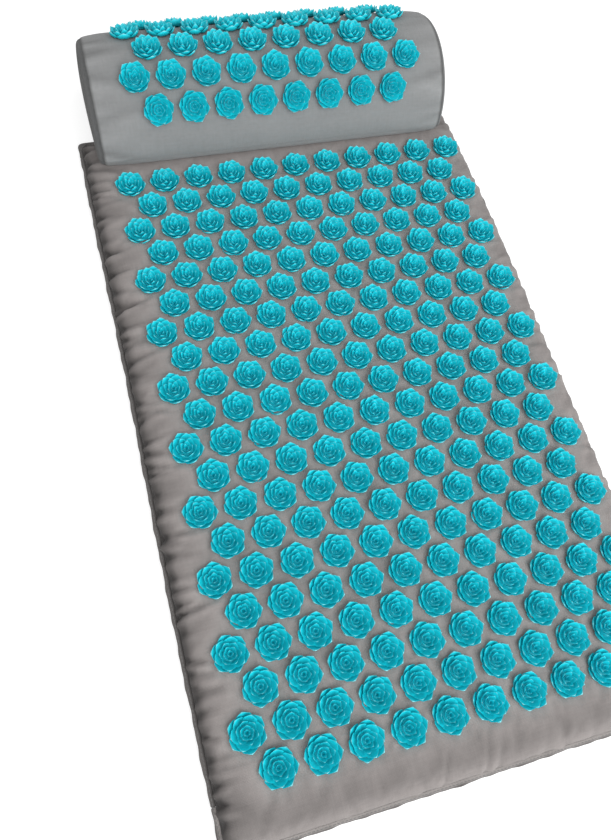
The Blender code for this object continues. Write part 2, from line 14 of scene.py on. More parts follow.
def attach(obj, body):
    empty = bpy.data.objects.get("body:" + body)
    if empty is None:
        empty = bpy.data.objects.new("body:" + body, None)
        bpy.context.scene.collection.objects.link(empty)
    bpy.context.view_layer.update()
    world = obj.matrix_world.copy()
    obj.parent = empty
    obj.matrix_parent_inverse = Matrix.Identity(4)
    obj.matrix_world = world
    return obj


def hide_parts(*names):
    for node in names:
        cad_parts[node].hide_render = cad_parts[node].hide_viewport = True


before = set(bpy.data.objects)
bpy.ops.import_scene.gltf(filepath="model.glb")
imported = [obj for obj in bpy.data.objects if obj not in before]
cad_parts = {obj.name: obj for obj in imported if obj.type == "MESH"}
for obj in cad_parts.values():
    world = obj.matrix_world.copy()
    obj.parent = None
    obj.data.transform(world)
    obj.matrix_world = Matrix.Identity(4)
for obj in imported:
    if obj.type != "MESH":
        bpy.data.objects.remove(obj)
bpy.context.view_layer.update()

bl_info = {
    "name": "Acupressure mat and pillow",
    "version": (1, 0, 0),
    "blender": (4, 5, 0),
    "location": "View3D > Sidebar > Acupressure",
    "description": "Dresses the packed mat and pillow in canvas, foam, flowers, seams and zips",
    "category": "Object",
}

# The mat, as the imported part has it
MAT_LENGTH = 0.686
MAT_WIDTH = 0.405
MAT_THICK = 0.020
HALF_LENGTH = MAT_LENGTH / 2
HALF_WIDTH = MAT_WIDTH / 2
CORNER = 0.010
TOP_ROLL = 0.0065
BOTTOM_ROLL = 0.004
SEAM_Z = 0.009
SEAM_HALF = 0.0015
LEFT_MARGIN = 0.0112
LEFT_TAPER = 0.0042
RIGHT_HEAD_PULL = 0.0087
FOOT_SLOPE_Y = -0.313
FOOT_DROP = 0.002
HEAD_SLOPE_Y = 0.300825

# The mat's field of flowers: rows of eleven and ten in turn, from the head to the foot
FLOWER_PITCH = 0.0354
ROW_PITCH = 0.0296
MAT_ROWS = 20
WIDE_ROW = 11
FIELD_Y = -0.0135
FLOWER_SEAT = 0.0200

# The pillow in its own frame: x along it, z up its middle, its origin at the round top's centre
PILLOW_PLACE = (-0.0127, 0.3645, 0.025012)
LEAN = math.radians(9.26645)
PILLOW_LENGTH = 0.382
PILLOW_RADIUS = 0.0751
PILLOW_CORNER = 0.012
PILLOW_BASE_Z = -0.0149
END_ROLL = 0.008
END_CROWN = 0.0025
PILLOW_ROW_COUNTS = (8, 9, 8, 9, 8)
PILLOW_ROW_ANGLE = math.radians(22.6)
PILLOW_FIELD_ANGLE = math.radians(-11.4)

# The zips: half their opening along, half their chain, and the slot's whole width
MAT_ZIP_Y = -0.100
MAT_ZIP_HALF = 0.206
MAT_CHAIN_HALF = 0.196
PILLOW_ZIP_ANGLE = math.radians(75)
PILLOW_ZIP_HALF = 0.176
PILLOW_CHAIN_HALF = 0.166
ZIP_SLOT = 0.0094

# The cloth: its wall, and how near a flower it is held down, kept smooth and given painted light
# that lifts the shade between flowers
CLOTH_WALL = 0.0008
HELD_REACH = 0.0098
SMOOTH_REACH = 0.0105
PAINTED_LIGHT_REACH = 0.018

# How far settling may draw the cloth in, or shift it sideways
MAT_DIP = 0.0007
PILLOW_DIP = 0.0005
CREEP = 0.0015

# How far in the foam lies, and the steps of its grid
FOAM_INSET = 0.0045
PILLOW_FOAM_INSET = 0.0068
FOAM_STEP = 0.006
PILLOW_FOAM_STEP = 0.016

# How far from an edge the mat's sag and the pillow's taper are felt
SAG_REACH = 0.015
TAPER_REACH = 0.018

# What starts each piece's random draws
TOP_SEED = 5
WELT_SEED = 17
PILLOW_SEED = 23


# Settings

colour_property = partial(bpy.props.FloatVectorProperty, subtype="COLOR", min=0, max=1)
length_property = partial(bpy.props.FloatProperty, unit="LENGTH")


class ClothSettings(bpy.types.PropertyGroup):
    """The canvas of both covers and the foam under it."""
    # Painted light and shade: the mat's and the pillow's canvas are one cloth. The mat's copy is
    # darker and warmer and the pillow's cooler, a painted difference in light and in reflection
    # from the teal flowers. The mat's copy is also darkened to even out the painted light between
    # its flowers.
    mat_colour: colour_property(
        name="Mat canvas", description="Colour of the mat's canvas", default=(0.197, 0.180, 0.174))
    pillow_colour: colour_property(
        name="Pillow canvas", description="Colour of the pillow's canvas",
        default=(0.245, 0.249, 0.250))
    welt_colour: colour_property(
        name="Welt canvas", description="Colour of the folded seam", default=(0.235, 0.218, 0.210))
    foam_colour: colour_property(
        name="Foam", description="Colour of both foam cores", default=(0.86, 0.85, 0.80))
    thread_pitch: length_property(
        name="Thread pitch", description="Distance between neighbouring threads",
        default=0.00095, min=0.0002, max=0.005)
    step: length_property(
        name="Grid step", description="Spacing of the cloth's grid before it is refined",
        default=0.005, min=0.002, max=0.02)
    pressure: bpy.props.FloatProperty(
        name="Pressure", description="How hard the foam pushes the cloth out between the flowers",
        default=3.0, min=0, max=20)
    spare: bpy.props.FloatProperty(
        name="Spare cloth", description="How much wider the mat's cloth is than what it covers",
        default=0.014, min=0, max=0.1, subtype="FACTOR")
    swell: length_property(
        name="Largest swell", description="Furthest that the cloth may rise off its plain shape",
        default=0.0030, min=0, max=0.02)
    taper: length_property(
        name="Pillow taper", description="How much the pillow draws in towards its ends",
        default=0.0022, min=0, max=0.01)
    sag: length_property(
        name="Seam sag", description="How much lower the mat's top lies at its seam",
        default=0.0038, min=0, max=0.01)
    gather: length_property(
        name="Gathers", description="Height of the short creases that run in from the side seams",
        default=0.0025, min=0, max=0.005)


class FlowerSettings(bpy.types.PropertyGroup):
    """The moulded flower discs."""
    colour: colour_property(
        name="Plastic", description="Colour of the petals' faces", default=(0.005, 0.615, 0.715))
    # Painted shade: the troughs between petals are coloured darker in place of the shade that
    # falls there.
    painted_shade_colour: colour_property(
        name="Plastic in troughs", description="Colour between the petals",
        default=(0.003, 0.395, 0.475))
    # Painted highlight: the thin rims are coloured paler in place of the light that catches and
    # shines through them.
    painted_highlight_colour: colour_property(
        name="Plastic at rims", description="Colour of the thin petal rims",
        default=(0.190, 0.620, 0.680))
    radius: length_property(
        name="Radius", description="From the middle to an outer petal's tip",
        default=0.0145, min=0.005, max=0.03)
    height: length_property(
        name="Height", description="From the cloth to the highest tip",
        default=0.0090, min=0.003, max=0.02)
    turn_seed: bpy.props.IntProperty(
        name="Turn seed", description="Picks how each flower is turned on the cloth",
        default=11, min=0)


class ZipSettings(bpy.types.PropertyGroup):
    """Both zips."""
    tape_colour: colour_property(
        name="Tape", description="Colour of the woven tape", default=(0.12, 0.12, 0.12))
    coil_colour: colour_property(
        name="Coil", description="Colour of the nylon coil", default=(0.08, 0.08, 0.08))
    metal_colour: colour_property(
        name="Metal", description="Colour of slider, puller and stops", default=(0.55, 0.56, 0.57))
    coil_pitch: length_property(
        name="Coil pitch", description="Length of one turn of the nylon coil",
        default=0.0014, min=0.0008, max=0.004)


class StageSettings(bpy.types.PropertyGroup):
    """The floor, the light and the camera."""
    floor_colour: colour_property(
        name="Floor", description="Colour of the floor", default=(0.45, 0.45, 0.45))
    lens: bpy.props.FloatProperty(
        name="Lens", description="Focal length for a 36 mm long side, in millimetres",
        default=29.29, min=10, max=200)
    key_power: bpy.props.FloatProperty(
        name="Key light", description="Power of the large soft lamp",
        default=38.5, min=0, unit="POWER")
    sky: bpy.props.FloatProperty(
        name="Sky", description="Strength of the even light from all sides",
        default=0.82, min=0, max=5)


# Numbers

def bell(distance, width):
    """A bell curve: the exponential of minus the square of the distance over the width."""
    return np.exp(-(distance / width) ** 2)


def unit(vectors):
    """The same directions, each one unit long."""
    return vectors / np.maximum(np.linalg.norm(vectors, axis=-1, keepdims=True), 1e-12)


def run_along(points):
    """How far each point of a line is from its start, along the line."""
    return np.concatenate([[0], np.cumsum(np.linalg.norm(np.diff(points, axis=0), axis=1))])


def round_turn(count):
    """Even angles once round."""
    return np.linspace(0, 2 * np.pi, count, endpoint=False)


def squared_sine(angle, power):
    """A sine flattened towards a square wave: its sign times its size to a power under one."""
    return np.sign(np.sin(angle)) * np.abs(np.sin(angle)) ** power


# Meshes from arrays

def grid_faces(rows, columns, wrap=False):
    """Quads between neighbouring points of a grid; wrap joins the last column to the first."""
    starts = np.arange(columns if wrap else columns - 1)
    i, j = np.meshgrid(np.arange(rows - 1), starts, indexing="ij")
    after = (j + 1) % columns
    corners = ((i, j), (i + 1, j), (i + 1, after), (i, after))
    return np.stack([row * columns + column for row, column in corners], -1).reshape(-1, 4)


def cap_faces(ring, pole):
    """Quads that close a ring of evenly many points on one pole: two steps of the ring a quad."""
    first = ring[0::2]
    return np.stack([np.full_like(first, pole), first, ring[1::2], np.roll(first, -1)], -1)


def closed_tube(rings):
    """Points and quads of rings joined one to the next, each end closed on the ring's middle."""
    count, around, _ = rings.shape
    points = np.concatenate([rings.reshape(-1, 3), rings[:1].mean(1), rings[-1:].mean(1)])
    start = np.arange(around)
    faces = np.concatenate([
        grid_faces(count, around, wrap=True),
        cap_faces(start, count * around),
        cap_faces(start[::-1] + (count - 1) * around, count * around + 1)])
    return points, outward(points, faces)


def outward(points, faces):
    """The same quads of a closed surface, turned so that they enclose a positive volume."""
    a, b, c, d = (points[faces[:, k]] for k in range(4))
    volume = (a * np.cross(b, c)).sum() + (a * np.cross(c, d)).sum()
    return faces if volume > 0 else faces[:, ::-1]


def joined(shapes):
    """Shapes of points and quads as one shape, its quads renumbered."""
    points, faces = zip(*shapes)
    starts = np.cumsum([0, *map(len, points[:-1])])
    faces = [quads + start for quads, start in zip(faces, starts)]
    return np.concatenate(points), np.concatenate(faces)


def weld(points, faces):
    """Joins points that lie within a hundredth of a millimetre of each other."""
    _, first, places = np.unique(np.rint(points / 1e-5).astype(int), axis=0, return_index=True,
                                 return_inverse=True)
    return points[first], places.reshape(-1)[faces]


def new_piece(name, points, faces, finish, uv=None, marks=None):
    """A mesh object of quads in a finish; uv is a pair and each mark a number for every point."""
    points = points.reshape(-1, 3)
    used, renumbered = np.unique(faces, return_inverse=True)
    faces = renumbered.reshape(faces.shape)
    mesh = bpy.data.meshes.new(name)
    mesh.vertices.add(len(used))
    mesh.vertices.foreach_set("co", points[used].astype(np.float32).ravel())
    mesh.loops.add(faces.size)
    mesh.loops.foreach_set("vertex_index", faces.astype(np.int32).ravel())
    mesh.polygons.add(len(faces))
    mesh.polygons.foreach_set("loop_start", np.arange(len(faces), dtype=np.int32) * faces.shape[1])
    mesh.update(calc_edges=True)
    if uv is not None:
        layer = mesh.uv_layers.new(name="cloth")
        pairs = uv.reshape(-1, 2)[used][faces.ravel()]
        layer.data.foreach_set("uv", pairs.astype(np.float32).ravel())
    for key, values in (marks or {}).items():
        mark = mesh.attributes.new(key, "FLOAT", "POINT")
        mark.data.foreach_set("value", values.ravel()[used].astype(np.float32))
    mesh.shade_smooth()
    mesh.materials.append(shared_material(finish))
    piece = bpy.data.objects.new(name, mesh)
    bpy.context.scene.collection.objects.link(piece)
    return piece


def subdivide(piece):
    """Rounds the piece with one level of live Subdivision Surface."""
    rounding = piece.modifiers.new("rounding", "SUBSURF")
    rounding.levels = rounding.render_levels = 1


def thicken(piece):
    """Gives an open sheet of cloth its wall, on the inner side."""
    wall = piece.modifiers.new("cloth thickness", "SOLIDIFY")
    wall.thickness = CLOTH_WALL
    wall.offset = -1
    wall.use_even_offset = True


def finish_piece(piece, body, node):
    """The piece rides on its body and stands for a CAD node, which it hides."""
    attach(piece, body)
    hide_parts(node)


# Materials

def fill_inputs(node, inputs):
    """Sets a node's inputs to values, or joins them to other nodes' outputs."""
    for key, value in inputs.items():
        if isinstance(value, bpy.types.NodeSocket):
            node.id_data.links.new(value, node.inputs[key])
        else:
            node.inputs[key].default_value = value


def put(tree, kind, inputs, **settings):
    """Adds a node, sets it and fills its inputs. Returns its outputs."""
    made = tree.nodes.new(kind)
    for key, value in settings.items():
        setattr(made, key, value)
    fill_inputs(made, inputs)
    return made.outputs


def sums(tree, operation, *values):
    """A Math node's result for one, two or three values or outputs."""
    return put(tree, "ShaderNodeMath", dict(enumerate(values)), operation=operation)[0]


def mixed(tree, amount, first, second):
    """A colour between two others."""
    return put(tree, "ShaderNodeMix", {0: amount, 6: first, 7: second}, data_type="RGBA")[2]


def blended(tree, amount, first, second):
    """A number between two others."""
    return put(tree, "ShaderNodeMix", {0: amount, 2: first, 3: second}, data_type="FLOAT")[0]


def scaled(tree, colour, factor):
    """A colour times a number."""
    return put(tree, "ShaderNodeVectorMath", {0: colour, 3: factor}, operation="SCALE")[0]


def stretched(tree, place, factors):
    """A place with each of its axes times a number of its own."""
    return put(tree, "ShaderNodeVectorMath", {0: place, 1: factors}, operation="MULTIPLY")[0]


def share(tree, value, low, high):
    """0 at the low value, 1 at the high one, and evenly between."""
    return put(tree, "ShaderNodeMapRange", {"Value": value, "From Min": low, "From Max": high})[0]


def noise(tree, place, scale, detail=2.0):
    """Smooth noise from 0 to 1 at a place."""
    return put(tree, "ShaderNodeTexNoise", {"Vector": place, "Scale": scale, "Detail": detail})[0]


def bumped(tree, height, strength, distance):
    """A normal that follows a height."""
    inputs = {"Height": height, "Strength": strength, "Distance": distance}
    return put(tree, "ShaderNodeBump", inputs)[0]


def object_place(tree):
    """The place on the object, which holds still when its body moves."""
    return put(tree, "ShaderNodeTexCoord", {})["Object"]


def point_mark(tree, name):
    """A number that the piece's points carry."""
    return put(tree, "ShaderNodeAttribute", {}, attribute_name=name)["Fac"]


def new_group(name, inputs, outputs):
    """A shader node group with float, colour or vector sockets: its tree, inputs and end node."""
    tree = bpy.data.node_groups.new(name, "ShaderNodeTree")
    kinds = {"f": "NodeSocketFloat", "c": "NodeSocketColor", "v": "NodeSocketVector"}
    for way, sockets in (("INPUT", inputs), ("OUTPUT", outputs)):
        for key, kind in sockets.items():
            tree.interface.new_socket(key, in_out=way, socket_type=kinds[kind])
    return tree, tree.nodes.new("NodeGroupInput").outputs, tree.nodes.new("NodeGroupOutput")


def plain_weave_group():
    """Plain weave: threads cross over and under in turn.

    Each thread's back is an arch, the size of a sine's half wave, across its width. Where the
    product of both sines is positive the warp lies on top, elsewhere the weft does, so the
    height is the upper thread's arch, drawn down towards the crossing's edge.
    """
    tree, given, end = new_group("plain_weave", {"Place": "v", "Pitch": "f"},
                                 {"Height": "f", "Over": "f", "Slub": "f"})
    place = given["Place"]
    waver = put(tree, "ShaderNodeTexNoise", {"Vector": place, "Scale": 90.0, "Detail": 1.0})
    shift = scaled(tree, waver["Color"], 0.0016)
    moved = put(tree, "ShaderNodeVectorMath", {0: place, 1: shift})[0]
    waves = []
    for axis in put(tree, "ShaderNodeSeparateXYZ", {0: moved})[:2]:
        turn = sums(tree, "DIVIDE", axis, given["Pitch"])
        waves.append(sums(tree, "SINE", sums(tree, "MULTIPLY", turn, math.pi)))
    over = share(tree, sums(tree, "MULTIPLY", *waves), -0.15, 0.15)
    arches = [sums(tree, "ABSOLUTE", wave) for wave in waves]
    warp, weft = (sums(tree, "MULTIPLY", back, sums(tree, "POWER", crossed, 0.4))
                  for back, crossed in (arches, arches[::-1]))
    slubs = [noise(tree, stretched(tree, place, factors), 1.0)
             for factors in ((900.0, 45.0, 900.0), (45.0, 900.0, 900.0))]
    fill_inputs(end, {"Height": blended(tree, over, weft, warp), "Over": over,
                      "Slub": sums(tree, "MULTIPLY", sums(tree, "ADD", *slubs), 0.5)})
    return tree


def cloth_tone_group():
    """Colour variation of worn cloth: broad soft patches and paler rubbed edges, with painted
    light and shade from the fold mark, paler where it is positive and darker where it is negative.
    """
    tree, given, end = new_group("cloth_tone", {
        "Colour": "c", "Place": "v", "Slub": "f", "Over": "f", "Wear": "f", "PaintedShading": "f",
    }, {"Colour": "c"})
    fine = noise(tree, given["Place"], 260.0, 3.0)
    tone = 0.5525
    for value, weight in ((noise(tree, given["Place"], 14.0, 4.0), 0.22), (given["Slub"], 0.30),
                          (given["Over"], 0.035), (fine, 0.14)):
        tone = sums(tree, "MULTIPLY_ADD", value, weight, tone)
    # Painted light and shade: the fold mark, clamped to one either way, makes the colour up to
    # three quarters paler or darker.
    painted_shading = put(tree, "ShaderNodeClamp", {"Value": given["PaintedShading"], "Min": -1.0, "Max": 1.0})[0]
    tone = sums(tree, "MULTIPLY", tone, sums(tree, "MULTIPLY_ADD", painted_shading, 0.75, 1.0))
    rubbed = scaled(tree, given["Colour"], 1.28)
    amount = sums(tree, "MULTIPLY", given["Wear"], sums(tree, "MULTIPLY", fine, 0.6))
    fill_inputs(end, {"Colour": mixed(tree, amount, scaled(tree, given["Colour"], tone), rubbed)})
    return tree


def moulded_group():
    """Moulded surface: faint flow ripples, fine handling scratches and a little uneven gloss."""
    tree, given, end = new_group("moulded", {"Place": "v", "Gloss": "f"},
                                 {"Height": "f", "Roughness": "f"})
    flow, scratches, patches = (noise(tree, given["Place"], scale, detail)
                                for scale, detail in ((420.0, 2.0), (1900.0, 2.0), (150.0, 3.0)))
    uneven = sums(tree, "MULTIPLY_ADD", patches, 0.16, -0.08)
    fill_inputs(end, {"Height": sums(tree, "MULTIPLY_ADD", scratches, 0.25, flow),
                      "Roughness": sums(tree, "ADD", uneven, given["Gloss"])})
    return tree


GROUPS = {"plain_weave": plain_weave_group, "cloth_tone": cloth_tone_group,
          "moulded": moulded_group}


def group_node(tree, name, inputs):
    """Places a node group, built the first time that it is asked for. Returns its outputs."""
    group = bpy.data.node_groups.get(name) or GROUPS[name]()
    return put(tree, "ShaderNodeGroup", inputs, node_tree=group)


def lockstitch(tree, place):
    """Where thread lies on the welt, from 0 to 1.

    The cloth map's first number runs along the seam and its second across it, both in metres.
    A stitch is a rounded lozenge, 2.6 mm long with a short gap, on a line 2.2 mm from the root:
    the fourth power of the way along it and the square of the way across it add up to less than 1.
    """
    axes = put(tree, "ShaderNodeSeparateXYZ", {0: place})
    along = sums(tree, "DIVIDE", sums(tree, "PINGPONG", axes[0], 0.0016), 0.0013)
    across = sums(tree, "DIVIDE", sums(tree, "SUBTRACT", axes[1], 0.0022), 0.00035)
    reach = sums(tree, "MULTIPLY_ADD", across, across, sums(tree, "POWER", along, 4.0))
    return share(tree, reach, 1.0, 0.4)


def dress_canvas(tree, shader, colour, pitch, depth=0.00022, stitched=False):
    """Matt plain-weave canvas that follows the piece's own cloth map."""
    place = put(tree, "ShaderNodeUVMap", {}, uv_map="cloth")[0]
    weave = group_node(tree, "plain_weave", {"Place": place, "Pitch": pitch})
    # The fold mark carries painted light and shade into the canvas colour.
    tone = group_node(tree, "cloth_tone", {
        "Colour": (*colour, 1), "Place": place, "Slub": weave["Slub"], "Over": weave["Over"],
        "Wear": point_mark(tree, "wear"), "PaintedShading": point_mark(tree, "fold")})["Colour"]
    height = sums(tree, "MULTIPLY_ADD", weave["Slub"], 0.8, weave["Height"])
    if stitched:
        thread = lockstitch(tree, place)
        tone = mixed(tree, thread, tone, (0.16, 0.16, 0.16, 1))
        height = sums(tree, "MULTIPLY_ADD", thread, 1.6, height)
    fill_inputs(shader, {
        "Base Color": tone, "Normal": bumped(tree, height, 0.75, depth), "Roughness": 0.92,
        "Sheen Weight": 0.12, "Sheen Roughness": 0.5, "Specular IOR Level": 0.25})


def dress_plastic(tree, shader, settings):
    """Glossy teal plastic, with painted shade deep between the petals and painted highlights along
    their thin rims.
    """
    place = object_place(tree)
    rim = point_mark(tree, "rim")
    face = mixed(tree, share(tree, rim, 0.0, 0.55), (*settings.painted_shade_colour, 1),
                 (*settings.colour, 1))
    colour = mixed(tree, share(tree, rim, 0.70, 0.97), face, (*settings.painted_highlight_colour, 1))
    tone = sums(tree, "MULTIPLY_ADD", noise(tree, place, 60.0, 3.0), 0.24, 0.88)
    moulded = group_node(tree, "moulded", {"Place": place, "Gloss": 0.55})
    fill_inputs(shader, {
        "Base Color": scaled(tree, colour, tone), "Roughness": moulded["Roughness"],
        "Normal": bumped(tree, moulded["Height"], 0.25, 0.0002),
        "IOR": 1.5, "Coat Weight": 0.04, "Coat Roughness": 0.3, "Specular IOR Level": 0.28})


def dress_metal(tree, shader, colour):
    """Plated die-cast metal with fine brushing and worn, brighter patches."""
    place = object_place(tree)
    brushed = noise(tree, stretched(tree, place, (400.0, 400.0, 6000.0)), 1.0, 3.0)
    tone = sums(tree, "MULTIPLY_ADD", noise(tree, place, 240.0, 4.0), 0.5, 0.72)
    fill_inputs(shader, {
        "Base Color": scaled(tree, colour, tone), "Metallic": 1.0,
        "Roughness": sums(tree, "MULTIPLY_ADD", brushed, 0.25, 0.22),
        "Normal": bumped(tree, brushed, 0.3, 0.0001)})


def dress_nylon(tree, shader, colour):
    """Dark nylon of the zip coils."""
    place = object_place(tree)
    tone = sums(tree, "MULTIPLY_ADD", noise(tree, place, 500.0), 0.5, 0.75)
    moulded = group_node(tree, "moulded", {"Place": place, "Gloss": 0.42})
    fill_inputs(shader, {
        "Base Color": scaled(tree, colour, tone), "Roughness": moulded["Roughness"], "IOR": 1.53})


def dress_foam(tree, shader, colour):
    """Open-cell foam: small dark cells in a pale, slightly yellowed body."""
    place = object_place(tree)
    cells = put(tree, "ShaderNodeTexVoronoi", {"Vector": place, "Scale": 700.0})["Distance"]
    tone = sums(tree, "MULTIPLY_ADD", noise(tree, place, 12.0), 0.14, 0.82)
    tone = sums(tree, "MULTIPLY_ADD", cells, 0.25, tone)
    fill_inputs(shader, {
        "Base Color": scaled(tree, colour, tone), "Normal": bumped(tree, cells, 0.6, 0.0006),
        "Roughness": 1.0, "Specular IOR Level": 0.1})


def dress_floor(tree, shader, colour):
    """A floor that shows white to the camera, and in gloss and glass, and keeps a faint shadow."""
    tone = sums(tree, "MULTIPLY_ADD", noise(tree, object_place(tree), 3.0), 0.02, 0.99)
    path = put(tree, "ShaderNodeLightPath", {})
    seen = sums(tree, "MAXIMUM", path["Is Camera Ray"], path["Is Glossy Ray"])
    glow = sums(tree, "MULTIPLY", sums(tree, "MAXIMUM", seen, path["Is Transmission Ray"]), 0.68)
    fill_inputs(shader, {
        "Base Color": scaled(tree, colour, tone), "Roughness": 0.9, "Specular IOR Level": 0.1,
        "Emission Color": put(tree, "ShaderNodeCombineColor", {0: glow, 1: glow, 2: glow})[0],
        "Emission Strength": 1.0})


def shared_material(name):
    """One of the finishes, made the first time that a piece asks for it."""
    if name in bpy.data.materials:
        return bpy.data.materials[name]
    scene = bpy.context.scene
    cloth, zips = scene.mat_cloth, scene.mat_zips
    finishes = {
        # mat_canvas and pillow_canvas are lit and shaded copies of one canvas, with painted light
        # and shade in their colours.
        "mat_canvas": (dress_canvas, cloth.mat_colour, cloth.thread_pitch),
        "pillow_canvas": (dress_canvas, cloth.pillow_colour, cloth.thread_pitch),
        "folded_canvas": (dress_canvas, cloth.welt_colour, cloth.thread_pitch, 0.0003, True),
        "woven_tape": (dress_canvas, zips.tape_colour, 0.0005, 0.0001),
        "teal_plastic": (dress_plastic, scene.mat_flowers),
        "open_cell_foam": (dress_foam, cloth.foam_colour),
        "plated_metal": (dress_metal, zips.metal_colour),
        "coil_nylon": (dress_nylon, zips.coil_colour),
        "floor": (dress_floor, scene.mat_stage.floor_colour),
    }
    material = bpy.data.materials.new(name)
    material.use_nodes = True
    dress, *values = finishes[name]
    dress(material.node_tree, material.node_tree.nodes["Principled BSDF"], *values)
    return material


# The mat's shape

def side_shift(x, y):
    """How far a side stands out of a straight slab: the left margin tapers towards the foot."""
    head = LEFT_TAPER * np.sin(np.pi / 2 * np.clip(y / HALF_LENGTH, 0, 1)) ** 2
    foot = -LEFT_TAPER * (np.clip(y, None, 0) / HALF_LENGTH) ** 2
    zip_head = MAT_ZIP_Y + MAT_ZIP_HALF
    pull = -RIGHT_HEAD_PULL * (np.clip(y - zip_head, 0, None) / (HALF_LENGTH - zip_head)) ** 2
    return np.where(x < 0, LEFT_MARGIN + np.where(y > 0, head, foot), pull)


def top_drop(y):
    """How far the top lies below its full height, under the pillow and at the foot."""
    head = math.tan(LEAN) * np.clip(y - HEAD_SLOPE_Y, 0, None)
    foot = FOOT_DROP * np.clip(FOOT_SLOPE_Y - y, 0, None) / (HALF_LENGTH + FOOT_SLOPE_Y)
    return head + foot


def shape_slab(points):
    """A straight slab's points bent into the mat: x grows with the side, z sinks with the top."""
    x, y, z = np.moveaxis(points, -1, 0)
    across = x * (1 + side_shift(x, y) / HALF_WIDTH)
    return np.stack([across, y, z * (1 - top_drop(y) / MAT_THICK)], -1)


def grid_line(core, steps, step, marks=()):
    """Places from end to end: even steps over the core, the given steps past it, some on marks."""
    inner = np.linspace(-core, core, 2 * max(2, round(core / step)) + 1)
    for mark in marks:
        inner[np.argmin(np.abs(inner - mark))] = mark
    past = core + np.cumsum(steps)
    return np.concatenate([-past[::-1], inner, past])


def rolled_sheet(inset, roll, side, step):
    """A flat sheet whose edge rolls over and runs down, as points, unrolled places and edge share.

    The sheet is a rectangle with a band round it. In the band a point's distance from the
    rectangle is the larger of its two overhangs, and at a corner its direction turns evenly
    from x to y. That distance runs first flat, then round a quarter circle, then straight
    down. A point's third number is how far down it has come.
    """
    flat = CORNER - inset - roll
    steps = [flat] + [roll * math.pi / 6] * 3 + [side]
    core = (HALF_WIDTH - CORNER, HALF_LENGTH - CORNER)
    zip_ends = (MAT_ZIP_Y - MAT_ZIP_HALF, MAT_ZIP_Y + MAT_ZIP_HALF)
    lines = grid_line(core[0], steps, step), grid_line(core[1], steps, step, zip_ends)
    across, along = np.meshgrid(*lines, indexing="ij")
    past = [np.clip(np.abs(across) - core[0], 0, None), np.clip(np.abs(along) - core[1], 0, None)]
    far = np.maximum(*past)
    lean = np.pi / 4 * np.minimum(*past) / np.maximum(far, 1e-9)
    turn = np.where(past[0] >= past[1], lean, np.pi / 2 - lean)
    over = np.clip(far - flat, 0, None)
    bend = np.minimum(over / roll, np.pi / 2)
    out = np.minimum(far, flat) + roll * np.sin(bend)
    down = roll * (1 - np.cos(bend)) + np.clip(over - roll * np.pi / 2, 0, None)
    x = np.sign(across) * (np.minimum(np.abs(across), core[0]) + out * np.cos(turn))
    y = np.sign(along) * (np.minimum(np.abs(along), core[1]) + out * np.sin(turn))
    points, places = np.stack([x, y, down], -1), np.stack([across, along], -1)
    return points, places, np.clip(far / sum(steps), 0, 1)


def row_places(count):
    """The flowers' places along a row, about its middle."""
    return (np.arange(count) - (count - 1) / 2) * FLOWER_PITCH


def mat_rows():
    """The flowers' middles on the mat, one array for each row, from the head to the foot."""
    for row in range(MAT_ROWS):
        x = row_places(WIDE_ROW - row % 2)
        y = FIELD_Y + ((MAT_ROWS - 1) / 2 - row) * ROW_PITCH
        yield np.stack([x, np.full(len(x), y), np.full(len(x), FLOWER_SEAT)], -1)


def without_zip(sheet, faces):
    """The quads of a mat's sheet outside the zip's opening in the right side's upright part."""
    x, y, z = sheet.reshape(-1, 3)[faces].mean(1).T
    gap = (np.abs(y - MAT_ZIP_Y) < MAT_ZIP_HALF) & (np.abs(z - SEAM_Z) < ZIP_SLOT / 2)
    return faces[~(gap & (x > HALF_WIDTH - CORNER))]


def refined(grid):
    """A grid with a point more midway in every step, on the cubic through four neighbours."""
    for axis in (0, 1):
        grid = np.moveaxis(grid, axis, 0)
        padded = np.concatenate([2 * grid[:1] - grid[1:2], grid, 2 * grid[-1:] - grid[-2:-1]])
        finer = np.empty((2 * len(grid) - 1, *grid.shape[1:]))
        finer[0::2] = grid
        finer[1::2] = (9 * (grid[:-1] + grid[1:]) - padded[:-3] - padded[3:]) / 16
        grid = np.moveaxis(finer, 0, axis)
    return grid


# How cloth lies

CLOTH_SOLVER = {
    "quality": 6, "mass": 0.25, "tension_stiffness": 25, "compression_stiffness": 25,
    "shear_stiffness": 8, "bending_stiffness": 0.25, "air_damping": 2, "use_pressure": True,
}
CLOTH_FRAMES = 20


def settle_cloth(points, faces, held, pressure, spare):
    """Points of a settled cloth: pressure pushes it out where it isn't held, spare cloth folds."""
    piece = new_piece("trial_cloth", points, faces, "mat_canvas")
    group = piece.vertex_groups.new(name="held")
    group.add(np.flatnonzero(held).tolist(), 1.0, "REPLACE")
    cloth = piece.modifiers.new("cloth", "CLOTH")
    for key, value in CLOTH_SOLVER.items():
        setattr(cloth.settings, key, value)
    cloth.settings.vertex_group_mass = group.name
    cloth.settings.uniform_pressure_force = pressure
    cloth.settings.shrink_min = -spare
    cloth.settings.effector_weights.gravity = 0
    cloth.collision_settings.use_collision = False
    cloth.point_cache.frame_start = 1
    cloth.point_cache.frame_end = CLOTH_FRAMES
    scene = bpy.context.scene
    for number in range(1, CLOTH_FRAMES + 1):
        scene.frame_set(number)
    seen = piece.evaluated_get(bpy.context.evaluated_depsgraph_get())
    settled = np.zeros(points.size, np.float32)
    seen.data.vertices.foreach_get("co", settled)
    bpy.data.objects.remove(piece)
    scene.frame_set(1)
    return settled.reshape(points.shape).astype(float)


def capped(rest, moved, normal, dip, swell):
    """The move from rest, kept from the dip to the swell along the normal and small across it."""
    move = moved - rest
    rise = (move * normal).sum(-1, keepdims=True)
    across = move - rise * normal
    length = np.linalg.norm(across, axis=-1, keepdims=True)
    across *= np.minimum(1, CREEP / np.maximum(length, 1e-9))
    return rest + across + np.clip(rise, -dip, swell) * normal


